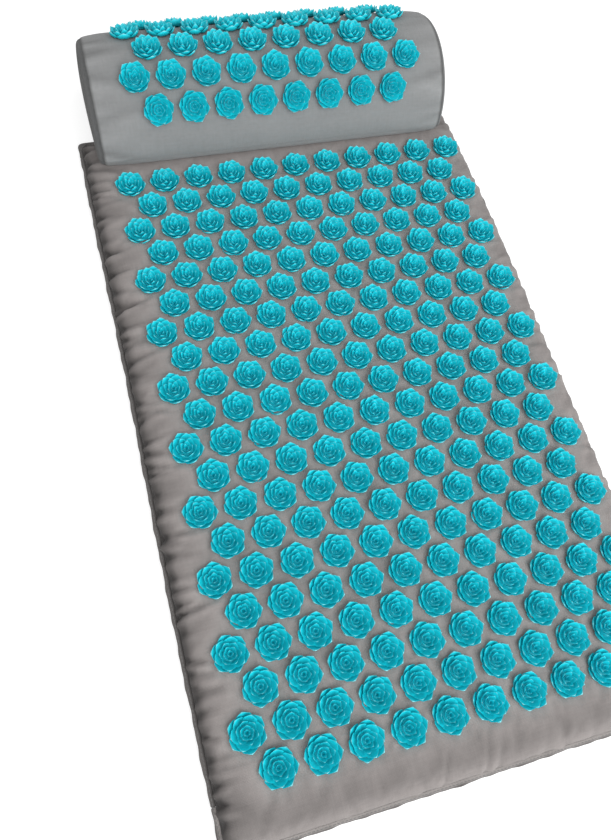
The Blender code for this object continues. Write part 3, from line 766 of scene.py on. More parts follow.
def sheet_normals(points):
    """A unit normal at each point of a grid, from the steps to its neighbours."""
    return unit(np.cross(np.gradient(points, axis=0), np.gradient(points, axis=1)))


def point_normals(points, faces):
    """A unit normal at each point, the mean of its quads' normals weighted by their size."""
    a, b, c, d = (points[faces[:, k]] for k in range(4))
    normal = np.zeros_like(points)
    for k in range(4):
        np.add.at(normal, faces[:, k], np.cross(c - a, d - b))
    return unit(normal)


def near_flowers(points, middles, reach):
    """How close each point is to a flower's middle: 1 within the reach, 0 from twice as far."""
    gap = np.full(points.shape[:-1], np.inf)
    for middle in middles:
        gap = np.minimum(gap, ((points - middle) ** 2).sum(-1))
    return np.clip(2 - np.sqrt(gap) / reach, 0, 1)


# Gathers along a seam: the least and greatest half width, length, size and slant of a fold
FOLD_WIDTH = (0.0024, 0.0044)
FOLD_REACH = (0.022, 0.060)
FOLD_SIZE = (0.3, 1.0)
FOLD_SLANT = (-0.3, 0.3)


def gathers(inward, along, length, count, rng, scale=1.0):
    """Short creases that run in from a seam: folds of random place, width, slant, length and size.

    Along the seam a fold is a bell curve with a shallow furrow on one side, and away from the
    seam it fades out as a smooth step.
    """
    height = np.zeros_like(along)
    places = (np.arange(count) + rng.uniform(-0.45, 0.45, count)) / count * length - length / 2
    for place in places:
        width = scale * rng.uniform(*FOLD_WIDTH)
        reach = scale * rng.uniform(*FOLD_REACH)
        size = rng.uniform(*FOLD_SIZE)
        slant = rng.uniform(*FOLD_SLANT)
        run = (along - place - slant * inward) / width
        fold = 0.8 * bell(run, 1) - bell(run - 1.6, 0.8)
        fade = np.clip(1 - inward / reach, 0, 1)
        height += size * fold * fade ** 2 * (3 - 2 * fade)
    return height


def seam_sag(places, level, depth):
    """How far the top lies lower near its seam, as a bell curve of the way in from the edge.

    It is less further down, in step with the height over the seam, and nothing along the zip.
    """
    side = np.where(places[..., 0] < 0, HALF_WIDTH + places[..., 0], 1.0)
    inward = np.minimum(side, HALF_LENGTH - np.abs(places[..., 1]))
    height = np.clip((level - SEAM_Z - SEAM_HALF) / (MAT_THICK - SEAM_Z - SEAM_HALF), 0, 1)
    return depth * height * bell(np.clip(inward, 0, None), SAG_REACH)


# The mat's top: how much of its edge is held, how uneven it starts, and how much painted light
# lifts the shade between flowers; then how many gathers run in from the left, right and foot
# seams, and their size
HELD_EDGE = 0.93
UNEVEN_START = 0.00012
PAINTED_LIGHT_BETWEEN = 0.64
MAT_GATHERS = ((54, 1.0), (40, 0.5), (15, 0.5))


class MAT_OT_top_cover(bpy.types.Operator):
    """Make the mat's upper cover: cloth held at the seam and under each flower, and let settle"""
    bl_idname = "acupressure.top_cover"
    bl_label = "Mat top cover"

    def execute(self, context):
        cloth = context.scene.mat_cloth
        side = MAT_THICK - TOP_ROLL - SEAM_Z - SEAM_HALF
        sheet, places, edge = rolled_sheet(0, TOP_ROLL, side, cloth.step)
        sheet[..., 2] = MAT_THICK - sheet[..., 2]
        points = shape_slab(sheet)
        middles = np.concatenate(list(mat_rows()))
        rng = np.random.default_rng(TOP_SEED)
        points = self.settled(points, edge, middles, cloth, rng)
        points, sheet, places, edge = map(refined, (points, sheet, places, edge))
        size = self.creases(places, rng) * (1 - near_flowers(points, middles, SMOOTH_REACH))
        # Painted light between the flowers, where their shade falls, added to the cover's painted
        # shading.
        fold = self.tone(sheet, size) + PAINTED_LIGHT_BETWEEN * near_flowers(points, middles, PAINTED_LIGHT_REACH)
        rise = cloth.gather * size * np.clip(6 * (1 - edge), 0, 1)
        points = points + sheet_normals(points) * rise[..., None]
        points[..., 2] -= seam_sag(places, sheet[..., 2], cloth.sag)
        faces = without_zip(sheet, grid_faces(*edge.shape))
        piece = new_piece("mat_cover_top", points, faces, "mat_canvas", places,
                          {"wear": np.zeros(edge.size), "fold": fold})
        thicken(piece)
        finish_piece(piece, "mat", "mat_top_cover")
        return {"FINISHED"}

    def settled(self, rest, edge, middles, cloth, rng):
        """The cover's points once its cloth has settled, from a very slightly uneven start."""
        normal = sheet_normals(rest)
        held = (near_flowers(rest, middles, HELD_REACH) >= 1) | (edge > HELD_EDGE)
        start = rest + normal * (rng.normal(0, UNEVEN_START, edge.shape) * (1 - held))[..., None]
        moved = settle_cloth(start, grid_faces(*edge.shape), held, cloth.pressure, cloth.spare)
        return capped(rest, moved, normal, MAT_DIP, cloth.swell)

    def creases(self, places, rng):
        """The gathers of the left, right and foot seams."""
        x, y = np.moveaxis(places, -1, 0)
        seams = ((HALF_WIDTH + x, y, MAT_LENGTH), (HALF_WIDTH - x, y, MAT_LENGTH),
                 (HALF_LENGTH + y, x, MAT_WIDTH))
        return sum(size * gathers(*seam, count, rng)
                   for seam, (count, size) in zip(seams, MAT_GATHERS))

    def tone(self, sheet, size):
        """Painted light and shade: paler on the gathers' ridges and darker in their furrows,
        painted shade low on the left side, painted light on the foot's roll and painted shade just
        inside it.
        """
        x, y, _ = np.moveaxis(sheet, -1, 0)
        painted_shade_left = np.where(x < 0, 0.9, 0.0) * bell(HALF_WIDTH + x, 0.0064)
        foot = HALF_LENGTH + y
        return 0.5 * size - painted_shade_left + 0.4 * bell(foot, 0.006) - 0.25 * bell(foot - 0.022, 0.012)


class MAT_OT_bottom_cover(bpy.types.Operator):
    """Make the mat's lower cover, flat where the mat lies and rolled up to the seam"""
    bl_idname = "acupressure.bottom_cover"
    bl_label = "Mat bottom cover"

    def execute(self, context):
        side = SEAM_Z - SEAM_HALF - BOTTOM_ROLL
        sheet, places, edge = rolled_sheet(0, BOTTOM_ROLL, side, 2 * context.scene.mat_cloth.step)
        faces = without_zip(sheet, grid_faces(*edge.shape))[:, ::-1]
        piece = new_piece("mat_cover_bottom", shape_slab(sheet), faces, "mat_canvas", places,
                          {"wear": edge ** 3})
        thicken(piece)
        subdivide(piece)
        finish_piece(piece, "mat", "mat_bottom_cover")
        return {"FINISHED"}


class MAT_OT_foam(bpy.types.Operator):
    """Make the mat's foam slab, a closed block with softly rounded edges"""
    bl_idname = "acupressure.mat_foam"
    bl_label = "Mat foam"

    def execute(self, context):
        cloth = context.scene.mat_cloth
        roll = TOP_ROLL - FOAM_INSET
        half = MAT_THICK / 2 - FOAM_INSET - roll
        sheet, places, edge = rolled_sheet(FOAM_INSET, roll, half, FOAM_STEP)
        faces = grid_faces(*edge.shape)
        top = sheet.copy()
        top[..., 2] = MAT_THICK - FOAM_INSET - sheet[..., 2]
        depth = cloth.sag + cloth.gather
        top[..., 2] -= seam_sag(places, top[..., 2] + FOAM_INSET, depth) * (1 - edge)
        sheet[..., 2] += FOAM_INSET
        sheets = (top.reshape(-1, 3), faces), (sheet.reshape(-1, 3), faces[:, ::-1])
        points, faces = joined(sheets)
        points, faces = weld(shape_slab(points), faces)
        piece = new_piece("mat_foam", points, outward(points, faces), "open_cell_foam")
        finish_piece(piece, "mat", "mat_foam_core")
        return {"FINISHED"}


# The welt

WELT_WIDTH = 0.0050
WELT_THICK = 0.0024
WELT_ROOT = 0.0007
WELT_STEP = 0.003

# How far the fold hangs and is drawn in all along, then the size and length of each wave of both
WELT_SET = -0.0008
WELT_DROOP = ((0.0005, 0.083), (0.0004, 0.037), (0.0003, 0.019))
WELT_DRAW = ((0.0003, 0.061), (0.0003, 0.027), (0.0002, 0.013))

# How far from the head edge the side welts end
WELT_END = 0.020


def seam_path(step):
    """The seam's line round the straight slab from the zip's middle, with its outward directions.

    Sides are straight and corners are quarter circles. Both come corner by corner: the arc, then
    the side as far as the next corner.
    """
    core = np.array([HALF_WIDTH - CORNER, HALF_LENGTH - CORNER])
    corners = np.array([(1, 1), (-1, 1), (-1, -1), (1, -1)]) * core
    places, ways = [], []
    for quarter, corner in enumerate(corners):
        swing = np.linspace(0, np.pi / 2, 9) + quarter * np.pi / 2
        way = np.stack([np.cos(swing), np.sin(swing)], -1)
        start, end = corner + CORNER * way[-1], corners[(quarter + 1) % 4] + CORNER * way[-1]
        count = round(np.linalg.norm(end - start) / step)
        part = np.linspace(0, 1, count + 1)[1:-1, None]
        places += [corner + CORNER * way, start * (1 - part) + end * part]
        ways += [way, np.repeat(way[-1:], count - 1, 0)]
    places, ways = np.concatenate(places), np.concatenate(ways)
    first = np.argmin(np.abs(places[:, 1] - MAT_ZIP_Y) + np.where(places[:, 0] > 0, 0, 1))
    return np.roll(places, -first, 0), np.roll(ways, -first, 0)


def welt_rings(places, ways, rng):
    """Sections of the folded strip along its path, and their cloth map.

    A section is a flat oval from the root in the seam out to the fold: across it follows a
    cosine, and its thickness a sine flattened by a power. The fold droops and draws in along
    the seam as sums of sines of unlike lengths. Over a corner, where the cloth stands out to a
    squarer point, it reaches further: as the inverse sixth root of the sum of the direction's
    sixth powers.
    """
    run = run_along(places)
    droop, drawn = (
        sum((size * np.sin(run * 2 * np.pi / length + rng.uniform(0, 2 * np.pi))
             for size, length in waves), WELT_SET) for waves in (WELT_DROOP, WELT_DRAW))
    corner = (np.abs(ways) ** 6).sum(1) ** (-1 / 6)
    reach = corner * (CORNER + WELT_WIDTH) - CORNER + drawn
    loop = round_turn(12)
    part = (1 - np.cos(loop)) / 2
    rise = squared_sine(loop, 0.55) * WELT_THICK / 2 * (1 - 0.25 * part)
    out = part * (reach[:, None] + WELT_ROOT) - WELT_ROOT
    flat = places[:, None] + ways[:, None] * out[..., None]
    level = SEAM_Z + rise + droop[:, None] * part ** 2
    uv = np.stack([np.repeat(run[:, None], len(loop), 1), out], -1)
    return shape_slab(np.concatenate([flat, level[..., None]], -1)), uv


class MAT_OT_welts(bpy.types.Operator):
    """Make the four lengths of folded welt that stand out of the mat's seam"""
    bl_idname = "acupressure.welts"
    bl_label = "Seam welts"

    def execute(self, context):
        places, ways = seam_path(WELT_STEP)
        rings, maps = welt_rings(places, ways, np.random.default_rng(WELT_SEED))
        x, y = places.T
        zip_head = np.flatnonzero((x > 0) & (y > MAT_ZIP_Y + MAT_ZIP_HALF))[0]
        right_head, left_head = np.flatnonzero(y > HALF_LENGTH - WELT_END)[[0, -1]]
        left_foot, zip_foot = np.flatnonzero(y < MAT_ZIP_Y - MAT_ZIP_HALF)[[0, -1]]
        lengths = {"right": (zip_head, right_head), "head": (right_head, left_head),
                   "left": (left_head, left_foot), "foot": (left_foot, zip_foot)}
        for name, (first, last) in lengths.items():
            points, faces = closed_tube(rings[first:last + 1])
            uv = maps[first:last + 1]
            uv = np.concatenate([uv.reshape(-1, 2), uv[:1].mean(1), uv[-1:].mean(1)])
            # The fold mark paints light and shade on the welt.
            piece = new_piece(f"welt_{name}", points, faces, "folded_canvas", uv,
                              {"fold": self.tone(uv[:, 1], name in ("left", "head"))})
            subdivide(piece)
            finish_piece(piece, "mat", f"mat_welt_{name}")
        return {"FINISHED"}

    def tone(self, out, shaded):
        """Painted shade all over and most at the root on the shaded left and head sides; elsewhere
        painted light, with a painted shadow along the outer fold.
        """
        if shaded:
            return -0.55 - 0.45 * bell(out, 0.0015)
        return 0.3 - 1.1 * np.clip((out - 0.0026) / 0.001, 0, 1)


# The flowers

PETAL_RINGS = (
    # petals, turn in degrees, then as shares: root radius and height, waist, tip, half width
    (6, 0, 0.60, 0.02, 0.90, 0.03, 1.03, 0.70, 0.480),
    (6, 30, 0.46, 0.10, 0.76, 0.10, 0.88, 0.84, 0.400),
    (6, 6, 0.32, 0.14, 0.54, 0.16, 0.59, 0.96, 0.270),
    (5, 20, 0.10, 0.16, 0.33, 0.20, 0.37, 1.00, 0.200),
    (3, 50, 0.00, 0.20, 0.13, 0.40, 0.16, 0.96, 0.120),
)
# how far along the petal, and how wide it is there
PETAL_SECTIONS = ((0.0, 0.66), (0.42, 1.0), (0.68, 0.86), (0.88, 0.44), (1.0, 0.08))
PETAL_YAW = math.radians(7)
DOME = ((0.72, 0.0), (0.72, 0.10), (0.50, 0.20), (0.20, 0.26))
SPOKES = 12
RIM_ANGLE = math.radians(65)

# How much the slopes of the flowers' seats vary
TILT = 0.018


def petal(root, waist, tip, half):
    """One petal as rings of six points, and how near each point is to its rim.

    Its middle line is a quadratic curve in the plane through the flower's axis. Across it the
    petal is a little flatter than its crown: its depth grows with the square of the distance
    from the middle. Its wall thins out towards the rim, and it turns a little about its own
    root, so that one edge lies over the next petal.
    """
    along, width = np.array(PETAL_SECTIONS).T[:, :, None]
    line = (1 - along) ** 2 * root + 2 * along * (1 - along) * waist + along ** 2 * tip
    slope = unit(2 * (1 - along) * (waist - root) + 2 * along * (tip - waist))
    side = np.array([-1, -0.5, 0.5, 1, 0.5, -0.5])
    outer_face = np.array([0, 0, 0, 0, 1, 1])
    across = side * half * width
    depth = across ** 2 / (2.7 * tip[0]) - outer_face * half * (0.24 - 0.14 * along)
    ahead = line[:, :1] - slope[:, 1:] * depth - root[0]
    level = line[:, 1:] + slope[:, :1] * depth
    rim = np.where(np.abs(side) == 1, 0.3 + 0.7 * along, along ** np.where(outer_face == 1, 5, 3))
    cosine, sine = math.cos(PETAL_YAW), math.sin(PETAL_YAW)
    turned = [root[0] + ahead * cosine - across * sine, ahead * sine + across * cosine, level]
    return np.stack(turned, -1), rim


def flower(radius, height):
    """One flower: crowns of petals on a low dome. Points, quads, and how near each is to a rim."""
    sizes = np.array([radius, height])
    shapes, rims = [], []
    for count, turn, *shares in PETAL_RINGS:
        root, waist, tip = (np.array(shares[k:k + 2]) * sizes for k in (0, 2, 4))
        rings, rim = petal(root, waist, tip, shares[6] * radius)
        shape, quads = closed_tube(rings)
        for k in range(count):
            angle = 2 * math.pi * k / count + math.radians(turn)
            shapes.append((shape @ np.array(Matrix.Rotation(angle, 3, "Z")).T, quads))
            rims.append([*rim.ravel(), 0.1, 1.0])
    out, level = (np.array(DOME) * sizes).T[:, :, None]
    swing = round_turn(SPOKES)
    rings = [out * np.cos(swing), out * np.sin(swing), np.repeat(level, SPOKES, 1)]
    shapes.append(closed_tube(np.stack(rings, -1)))
    rims.append(np.zeros(len(shapes[-1][0])))
    return *joined(shapes), np.concatenate(rims)


def flower_row(name, middles, axes, body, node, rng):
    """A row of flowers as one piece, each turned and tilted at random on its seat."""
    settings = bpy.context.scene.mat_flowers
    points, faces, near = flower(settings.radius, settings.height)
    turns = rng.uniform(0, 2 * np.pi, (len(middles), 1))
    tilt = rng.normal(0, TILT, (2, len(middles), 1))
    x, y, z = points.T
    cosine, sine = np.cos(turns), np.sin(turns)
    x, y = x * cosine - y * sine, x * sine + y * cosine
    local = np.stack([x, y, np.maximum(z + (tilt[0] * x + tilt[1] * y), 0)], -1)
    placed = middles[:, None] + local @ np.array(axes).T
    points, faces = joined([(spot, faces) for spot in placed])
    marks = {"rim": np.tile(near, len(middles))}
    piece = new_piece(name, points, faces, "teal_plastic", marks=marks)
    piece.data.set_sharp_from_angle(angle=RIM_ANGLE)
    finish_piece(piece, body, node)


def pillow_axes():
    """The pillow frame's axes as columns, leaning back over the mat's head."""
    return Matrix.Rotation(-LEAN, 3, "X")


def on_pillow(points):
    """Points of the pillow's own frame, in the part's frame."""
    return points @ np.array(pillow_axes()).T + np.array(PILLOW_PLACE)


def pillow_rows():
    """The flowers' middles on the pillow and each row's axes, from the front to the back."""
    middle = (len(PILLOW_ROW_COUNTS) - 1) / 2
    for row, count in enumerate(PILLOW_ROW_COUNTS):
        angle = PILLOW_FIELD_ANGLE + (row - middle) * PILLOW_ROW_ANGLE
        spot = np.array([0, PILLOW_RADIUS * math.sin(angle), PILLOW_RADIUS * math.cos(angle)])
        yield (spot + row_places(count)[:, None] * np.array([1, 0, 0]),
               pillow_axes() @ Matrix.Rotation(-angle, 3, "X"))


class MAT_OT_flowers(bpy.types.Operator):
    """Make the flowers of the mat and of the pillow, row by row"""
    bl_idname = "acupressure.flowers"
    bl_label = "Flowers"

    def execute(self, context):
        rng = np.random.default_rng(context.scene.mat_flowers.turn_seed)
        for row, middles in enumerate(mat_rows(), 1):
            flower_row(f"mat_flowers_{row:02d}", middles, np.eye(3), "mat",
                       f"mat_disc_row_{row:02d}", rng)
        for row, (middles, axes) in enumerate(pillow_rows(), 1):
            flower_row(f"pillow_flowers_{row}", on_pillow(middles), axes, "pillow",
                       f"pillow_disc_row_{row}", rng)
        return {"FINISHED"}


# The pillow

# Steps round it: front of the slot, slot, behind the slot, back corner, base, front corner
PILLOW_STEPS = (48, 2, 2, 8, 28, 8)
SLOT_FIRST = PILLOW_STEPS[0]
SLOT_LAST = SLOT_FIRST + PILLOW_STEPS[1]
BASE_LAST = sum(PILLOW_STEPS[:5])
PANEL_RINGS = 9
ROLL_STEPS = 4
SEAM_STEP = 3
SEAM_DENT = 0.0006
PANEL_TUCK = 0.0014

# The pillow's shares of the mat's largest swell and of its gathers' height; then how many gathers
# run in from each end seam, and how many times as wide and long as the mat's they are
PILLOW_SWELL = 0.8
PILLOW_GATHER = 0.3
PILLOW_GATHERS = (22, 1.5)


def pillow_outline(inset):
    """The closed outline in the end view: big arc, back corner, base, front corner.

    Each stretch has a fixed count of steps, so outlines of unlike insets match point by point.
    The zip's slot has steps of its own in the big arc. Returns points and their run along.
    """
    corner_z = PILLOW_BASE_Z + PILLOW_CORNER
    corner_y = math.sqrt((PILLOW_RADIUS - PILLOW_CORNER) ** 2 - corner_z ** 2)
    arc_end = math.atan2(corner_y, corner_z)
    half_slot = ZIP_SLOT / 2 / PILLOW_RADIUS
    stops = (-arc_end, PILLOW_ZIP_ANGLE - half_slot, PILLOW_ZIP_ANGLE + half_slot, arc_end, np.pi)
    *big, back = (np.linspace(*ends, steps, endpoint=False)
                  for *ends, steps in zip(stops, stops[1:], PILLOW_STEPS))
    base = np.linspace(corner_y, -corner_y, PILLOW_STEPS[4], endpoint=False)
    front = np.linspace(np.pi, 2 * np.pi - arc_end, PILLOW_STEPS[5], endpoint=False)
    radius = PILLOW_CORNER - inset
    top, back, front = (np.stack([r * np.sin(a) + y, r * np.cos(a) + z], -1) for r, a, y, z in (
        (PILLOW_RADIUS - inset, np.concatenate(big), 0, 0), (radius, back, corner_y, corner_z),
        (radius, front, -corner_y, corner_z)))
    flat = np.stack([base, np.full_like(base, corner_z - radius)], -1)
    points = np.concatenate([top, back, flat, front])
    return points, run_along(points)


def pillow_surface(step):
    """The whole pillow as one closed grid in its own frame: stations along it by steps round it.

    Along the middle every station has the full outline. Over the end roll the outline draws in
    as a quarter circle, and on the end panel it shrinks evenly to one point, while the panel
    bulges as a cosine. Returns points, their cloth map and the station of the seam, which
    runs along the end roll.
    """
    half = PILLOW_LENGTH / 2
    swing = np.linspace(0, np.pi / 2, ROLL_STEPS + 1)
    end = [(half - END_ROLL * (1 - math.sin(a)), END_ROLL * (1 - math.cos(a)), 1.0) for a in swing]
    end += [(half + END_CROWN * math.cos(math.pi / 2 * s), END_ROLL, s)
            for s in np.linspace(1, 0, PANEL_RINGS + 1)[1:-1]]
    inner = np.linspace(-PILLOW_ZIP_HALF, PILLOW_ZIP_HALF, round(2 * PILLOW_ZIP_HALF / step) + 1)
    stations = [(-x, *rest) for x, *rest in end[::-1]] + [(x, 0.0, 1.0) for x in inner] + end
    x, insets, shrink = np.array(stations).T[:, :, None]
    outlines, runs = map(np.array, zip(*(pillow_outline(inset) for inset in insets[:, 0])))
    middle = np.array([0, (PILLOW_RADIUS + PILLOW_BASE_Z) / 2])
    outlines = middle + (outlines - middle) * shrink[..., None]
    rings = np.concatenate([np.repeat(x, runs.shape[1], 1)[..., None], outlines], -1)
    along = np.repeat(run_along(rings[:, 0])[:, None], runs.shape[1], 1)
    maps = np.where(shrink[..., None] < 1, outlines, np.stack([along, runs], -1))
    return rings, maps, PANEL_RINGS - 1 + SEAM_STEP


def tapered(points, depth):
    """The pillow's points, its section shrunk towards the ends about the middle of its base."""
    end_gap = np.clip(PILLOW_LENGTH / 2 - np.abs(points[:, 0]), 0, None)
    shrink = 1 - depth / PILLOW_RADIUS * bell(end_gap, TAPER_REACH)
    foot = np.array([0, PILLOW_BASE_Z])
    return np.concatenate([points[:, :1], foot + (points[:, 1:] - foot) * shrink[:, None]], 1)


class MAT_OT_pillow_covers(bpy.types.Operator):
    """Make the pillow's upper cover, base and end panels from one settled, padded shape"""
    bl_idname = "acupressure.pillow_covers"
    bl_label = "Pillow covers"

    def execute(self, context):
        cloth = context.scene.mat_cloth
        rings, maps, near_seam = pillow_surface(cloth.step)
        points, faces = closed_tube(rings)
        count, around, _ = rings.shape
        far_seam = count - 1 - near_seam
        station, spoke = np.divmod(np.arange(len(points)), around)
        station[-2:], spoke[-2:] = (-1, count), 0
        on_base = (spoke >= SLOT_FIRST) & (spoke <= BASE_LAST + 3)
        middles = np.concatenate([middles for middles, _ in pillow_rows()])
        close = near_flowers(points, middles, SMOOTH_REACH)
        normal = point_normals(points, faces)
        settled = points
        moved = settle_cloth(points, faces, (close >= 1) | on_base, cloth.pressure, 0.0)
        settled = capped(points, moved, normal, PILLOW_DIP, cloth.swell * PILLOW_SWELL)
        seam_gap = np.minimum(np.abs(station - near_seam), np.abs(station - far_seam))
        seam = seam_gap == 0
        panel = (station < near_seam) | (station > far_seam)
        run = maps[count // 2, :, 1][spoke]
        creases = self.creases(points, panel, run) * (1 - close) * ~on_base
        rise = PILLOW_GATHER * cloth.gather * creases - SEAM_DENT * seam
        settled = settled + rise[:, None] * normal
        tuck = np.isin(station, (near_seam + 1, far_seam - 1))
        tucked = settled - PANEL_TUCK * tuck[:, None] * normal
        settled, tucked = (on_pillow(tapered(form, cloth.taper)) for form in (settled, tucked))
        # The fold mark paints light and shade on the pillow's covers.
        marks = {"wear": 0.3 * bell(seam_gap, 1.5),
                 "fold": self.tone(points[:, 0], seam, panel, creases)}
        uv = np.concatenate([maps.reshape(-1, 2), maps[:1].mean(1), maps[-1:].mean(1)])
        first, low, x = self.quad_places(points, faces, station, spoke, around)
        slot = (low >= SLOT_FIRST) & (low < SLOT_LAST) & (np.abs(x) < PILLOW_ZIP_HALF)
        base = (low >= SLOT_LAST) & (low < BASE_LAST)
        middle = (first >= near_seam) & (first < far_seam) & ~slot
        for name, form, chosen, node in (
                ("top", settled, middle & ~base, "pillow_top_cover"),
                ("base", settled, middle & base, "pillow_base_cover"),
                ("panel_left", tucked, first <= near_seam, "pillow_end_left"),
                ("panel_right", tucked, first >= far_seam - 1, "pillow_end_right")):
            piece = new_piece(f"pillow_cover_{name}", form, faces[chosen], "pillow_canvas", uv,
                              marks)
            thicken(piece)
            subdivide(piece)
            finish_piece(piece, "pillow", node)
        return {"FINISHED"}

    def creases(self, points, panel, run):
        """The gathers that run in from both end seams."""
        rng = np.random.default_rng(PILLOW_SEED)
        count, scale = PILLOW_GATHERS
        length = run.max()
        inward = (np.where(panel, 1.0, np.clip(PILLOW_LENGTH / 2 - side * points[:, 0], 0, None))
                  for side in (-1, 1))
        return sum(gathers(gap, run - length / 2, length, count, rng, scale) for gap in inward)

    def tone(self, x, seam, panel, creases):
        """Dark along the seams; painted shade on both end panels, the left one more; elsewhere
        painted light on the gathers' ridges and painted shade in their furrows.
        """
        painted_panel_shade = np.where(x < 0, -0.75, -0.35)
        return np.where(seam, -1.0, np.where(panel, painted_panel_shade, 0.4 * creases))

    def quad_places(self, points, faces, station, spoke, around):
        """Each quad's first station, its first spoke on the way round, and its middle's x."""
        spokes = spoke[faces]
        wraps = (spokes.max(1) == around - 1) & (spokes.min(1) == 0)
        low = np.where(wraps, around - 1, spokes.min(1))
        return station[faces].min(1), low, points[faces].mean(1)[:, 0]


class MAT_OT_pillow_foam(bpy.types.Operator):
    """Make the pillow's half-round foam block"""
    bl_idname = "acupressure.pillow_foam"
    bl_label = "Pillow foam"

    def execute(self, context):
        rings, _, _ = pillow_surface(PILLOW_FOAM_STEP)
        points, faces = closed_tube(rings[:, ::2])
        points = tapered(points - PILLOW_FOAM_INSET * point_normals(points, faces),
                         context.scene.mat_cloth.taper)
        piece = new_piece("pillow_foam", on_pillow(points), faces, "open_cell_foam")
        finish_piece(piece, "pillow", "pillow_foam_core")
        return {"FINISHED"}


# The zips

# A tape: its gap at the ends, its middle from the zip's line, half its width, its wall and depth
TAPE_END_GAP = 0.0003
TAPE_MIDDLE = 0.0029
TAPE_HALF = 0.0026
TAPE_WALL = 0.0004
TAPE_SINK = 0.0011

# A coil: the same for its turns, then its middle's level, half its height and its wire's radius
COIL_END_GAP = 0.0007
COIL_MIDDLE = 0.0009
COIL_HALF = 0.00095
COIL_LEVEL = 0.0004
COIL_RISE = 0.0007
WIRE_RADIUS = 0.0003


def zip_frames():
    """Each zip's name, body, middle, axes as columns (along, across, out) and half lengths."""
    sine, cosine = math.sin(PILLOW_ZIP_ANGLE), math.cos(PILLOW_ZIP_ANGLE)
    spot = np.array([0, PILLOW_RADIUS * sine, PILLOW_RADIUS * cosine])
    local = np.array(((1, 0, 0), (0, cosine, sine), (0, -sine, cosine)))
    yield ("mat_zip", "mat", np.array([HALF_WIDTH, MAT_ZIP_Y, SEAM_Z]),
           np.array(((0, 0, 1), (1, 0, 0), (0, 1, 0))), MAT_ZIP_HALF, MAT_CHAIN_HALF)
    yield ("pillow_zip", "pillow", on_pillow(spot), np.array(pillow_axes()) @ local,
           PILLOW_ZIP_HALF, PILLOW_CHAIN_HALF)


def tube_along(path, normal, radius, sides):
    """Rings of a round wire along a path, each square to it and started from one normal."""
    ahead = unit(np.gradient(path, axis=0))
    first = unit(np.cross(ahead, normal))
    second = np.cross(ahead, first)
    swing = round_turn(sides)[:, None]
    ring = np.cos(swing) * first[:, None] + np.sin(swing) * second[:, None]
    return path[:, None] + radius * ring


def tape(half, sign):
    """A flat woven tape with a round edge, its section a flattened oval carried along the zip."""
    reach = half - TAPE_END_GAP
    loop = round_turn(12)
    rings = np.empty((90, len(loop), 3))
    rings[..., 0] = np.linspace(-reach, reach, 90)[:, None]
    rings[..., 1] = sign * (TAPE_MIDDLE - TAPE_HALF * np.cos(loop))
    rings[..., 2] = TAPE_WALL / 2 * squared_sine(loop, 0.3) - TAPE_SINK
    return closed_tube(rings)


def coil(half, pitch, sign):
    """One side's coil: a flattened helix of wire, half a turn out of step with the other's."""
    turns = int(2 * half / pitch) - 1
    swing = np.linspace(0, 2 * np.pi * turns, turns * 10 + 1)
    path = np.stack([-half + COIL_END_GAP + swing / (2 * np.pi) * pitch + (sign > 0) * pitch / 2,
                     sign * (COIL_MIDDLE - COIL_HALF * np.cos(swing)),
                     COIL_LEVEL + COIL_RISE * np.sin(swing)], -1)
    return closed_tube(tube_along(path, np.array([1.0, 0, 0]), WIRE_RADIUS, 6))


class MAT_OT_zips(bpy.types.Operator):
    """Make the zips' tapes and nylon coils, and give the metal pieces their finish"""
    bl_idname = "acupressure.zips"
    bl_label = "Zips"

    def execute(self, context):
        pitch = context.scene.mat_zips.coil_pitch
        for name, body, middle, axes, half, chain in zip_frames():
            for edge, sign in (("upper", 1), ("lower", -1)):
                points, faces = tape(half, sign)
                piece = new_piece(f"{name}_tape_{edge}_cloth", middle + points @ axes.T, faces,
                                  "woven_tape", points[:, :2], {"wear": np.zeros(len(points))})
                finish_piece(piece, body, f"{name}_tape_{edge}")
            points, faces = joined([coil(chain, pitch, sign) for sign in (1, -1)])
            piece = new_piece(f"{name}_coils", middle + points @ axes.T, faces, "coil_nylon")
            finish_piece(piece, body, f"{name}_chain")
            for part in ("stop_closed", "stop_open", "slider", "puller"):
                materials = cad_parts[f"{name}_{part}"].data.materials
                materials.clear()
                materials.append(shared_material("plated_metal"))
        return {"FINISHED"}


# The stage

CAMERA_PLACE = (-0.19628, -0.23816, 0.59926)
CAMERA_BACK = (-0.207, -0.341, 0.917)
CAMERA_UP = (0.1921, 0.9049, 0.3798)
LAMP_WAY = (0.40, -0.95, 0.85)
LAMP_DISTANCE = 1.3
LAMP_SIZE = 2.0
FLOOR_REACH = 6.0
FLOOR_Z = -0.0004


def face_to(item, back, up):
    """Turns a lamp or camera so that it looks against back with its top towards up."""
    back = Vector(back).normalized()
    right = Vector(up).cross(back).normalized()
    item.rotation_euler = Matrix((right, back.cross(right), back)).transposed().to_euler()


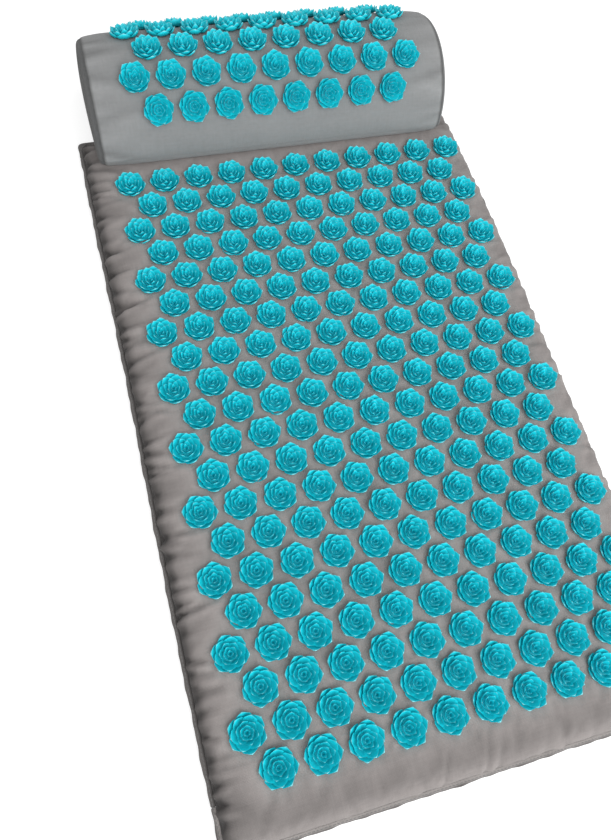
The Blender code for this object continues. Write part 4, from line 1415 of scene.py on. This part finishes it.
class MAT_OT_stage(bpy.types.Operator):
    """Lay the white floor, hang the soft lamp and set up the camera"""
    bl_idname = "acupressure.stage"
    bl_label = "Stage"

    def execute(self, context):
        scene = context.scene
        self.make_floor()
        self.make_lamp(scene)
        self.make_sky(scene)
        data = bpy.data.cameras.new("camera")
        data.lens = scene.mat_stage.lens
        data.sensor_width = 36
        data.clip_start = 0.01
        camera = bpy.data.objects.new("camera", data)
        camera.location = CAMERA_PLACE
        face_to(camera, CAMERA_BACK, CAMERA_UP)
        scene.collection.objects.link(camera)
        scene.camera = camera
        scene.view_settings.view_transform = "Standard"
        return {"FINISHED"}

    def make_floor(self):
        """A wide flat floor just under the mat."""
        span = np.linspace(-FLOOR_REACH, FLOOR_REACH, 9)
        x, y = np.meshgrid(span, span, indexing="ij")
        points = np.stack([x, y, np.full_like(x, FLOOR_Z)], -1)
        new_piece("floor", points, grid_faces(*x.shape), "floor")

    def make_lamp(self, scene):
        """A large soft lamp from the foot's right."""
        lamp = bpy.data.lights.new("key", "AREA")
        lamp.energy = scene.mat_stage.key_power
        lamp.size = LAMP_SIZE
        key = bpy.data.objects.new("key", lamp)
        key.location = Vector(LAMP_WAY) * LAMP_DISTANCE
        face_to(key, LAMP_WAY, (0, 0, 1))
        scene.collection.objects.link(key)

    def make_sky(self, scene):
        """An even sky that the camera sees as white."""
        world = bpy.data.worlds.new("sky")
        world.use_nodes = True
        tree = world.node_tree
        path = put(tree, "ShaderNodeLightPath", {})
        direct = sums(tree, "MAXIMUM", path["Is Camera Ray"], path["Is Transmission Ray"])
        fill_inputs(tree.nodes["Background"], {
            "Color": (1, 1, 1, 1), "Strength": blended(tree, direct, scene.mat_stage.sky, 1.0)})
        scene.world = world


# The add-on

SETTINGS = {"mat_cloth": ClothSettings, "mat_flowers": FlowerSettings, "mat_zips": ZipSettings,
            "mat_stage": StageSettings}
STEPS = (MAT_OT_stage, MAT_OT_top_cover, MAT_OT_bottom_cover, MAT_OT_foam, MAT_OT_welts,
         MAT_OT_flowers, MAT_OT_pillow_covers, MAT_OT_pillow_foam, MAT_OT_zips)


class VIEW3D_PT_acupressure(bpy.types.Panel):
    """Lists the steps that dress the mat and pillow"""
    bl_label = "Acupressure mat"
    bl_space_type = "VIEW_3D"
    bl_region_type = "UI"
    bl_category = "Acupressure"

    def draw(self, context):
        for step in STEPS:
            self.layout.operator(step.bl_idname)


def register():
    for kind in (*SETTINGS.values(), *STEPS, VIEW3D_PT_acupressure):
        bpy.utils.register_class(kind)
    for name, group in SETTINGS.items():
        setattr(bpy.types.Scene, name, bpy.props.PointerProperty(type=group))


def unregister():
    for name in SETTINGS:
        delattr(bpy.types.Scene, name)
    for kind in (VIEW3D_PT_acupressure, *STEPS, *SETTINGS.values()):
        bpy.utils.unregister_class(kind)


def main():
    """Dress the part."""
    register()
    for step in STEPS:
        getattr(bpy.ops.acupressure, step.bl_idname.split(".")[1])()


if __name__ == "__main__":
    main()
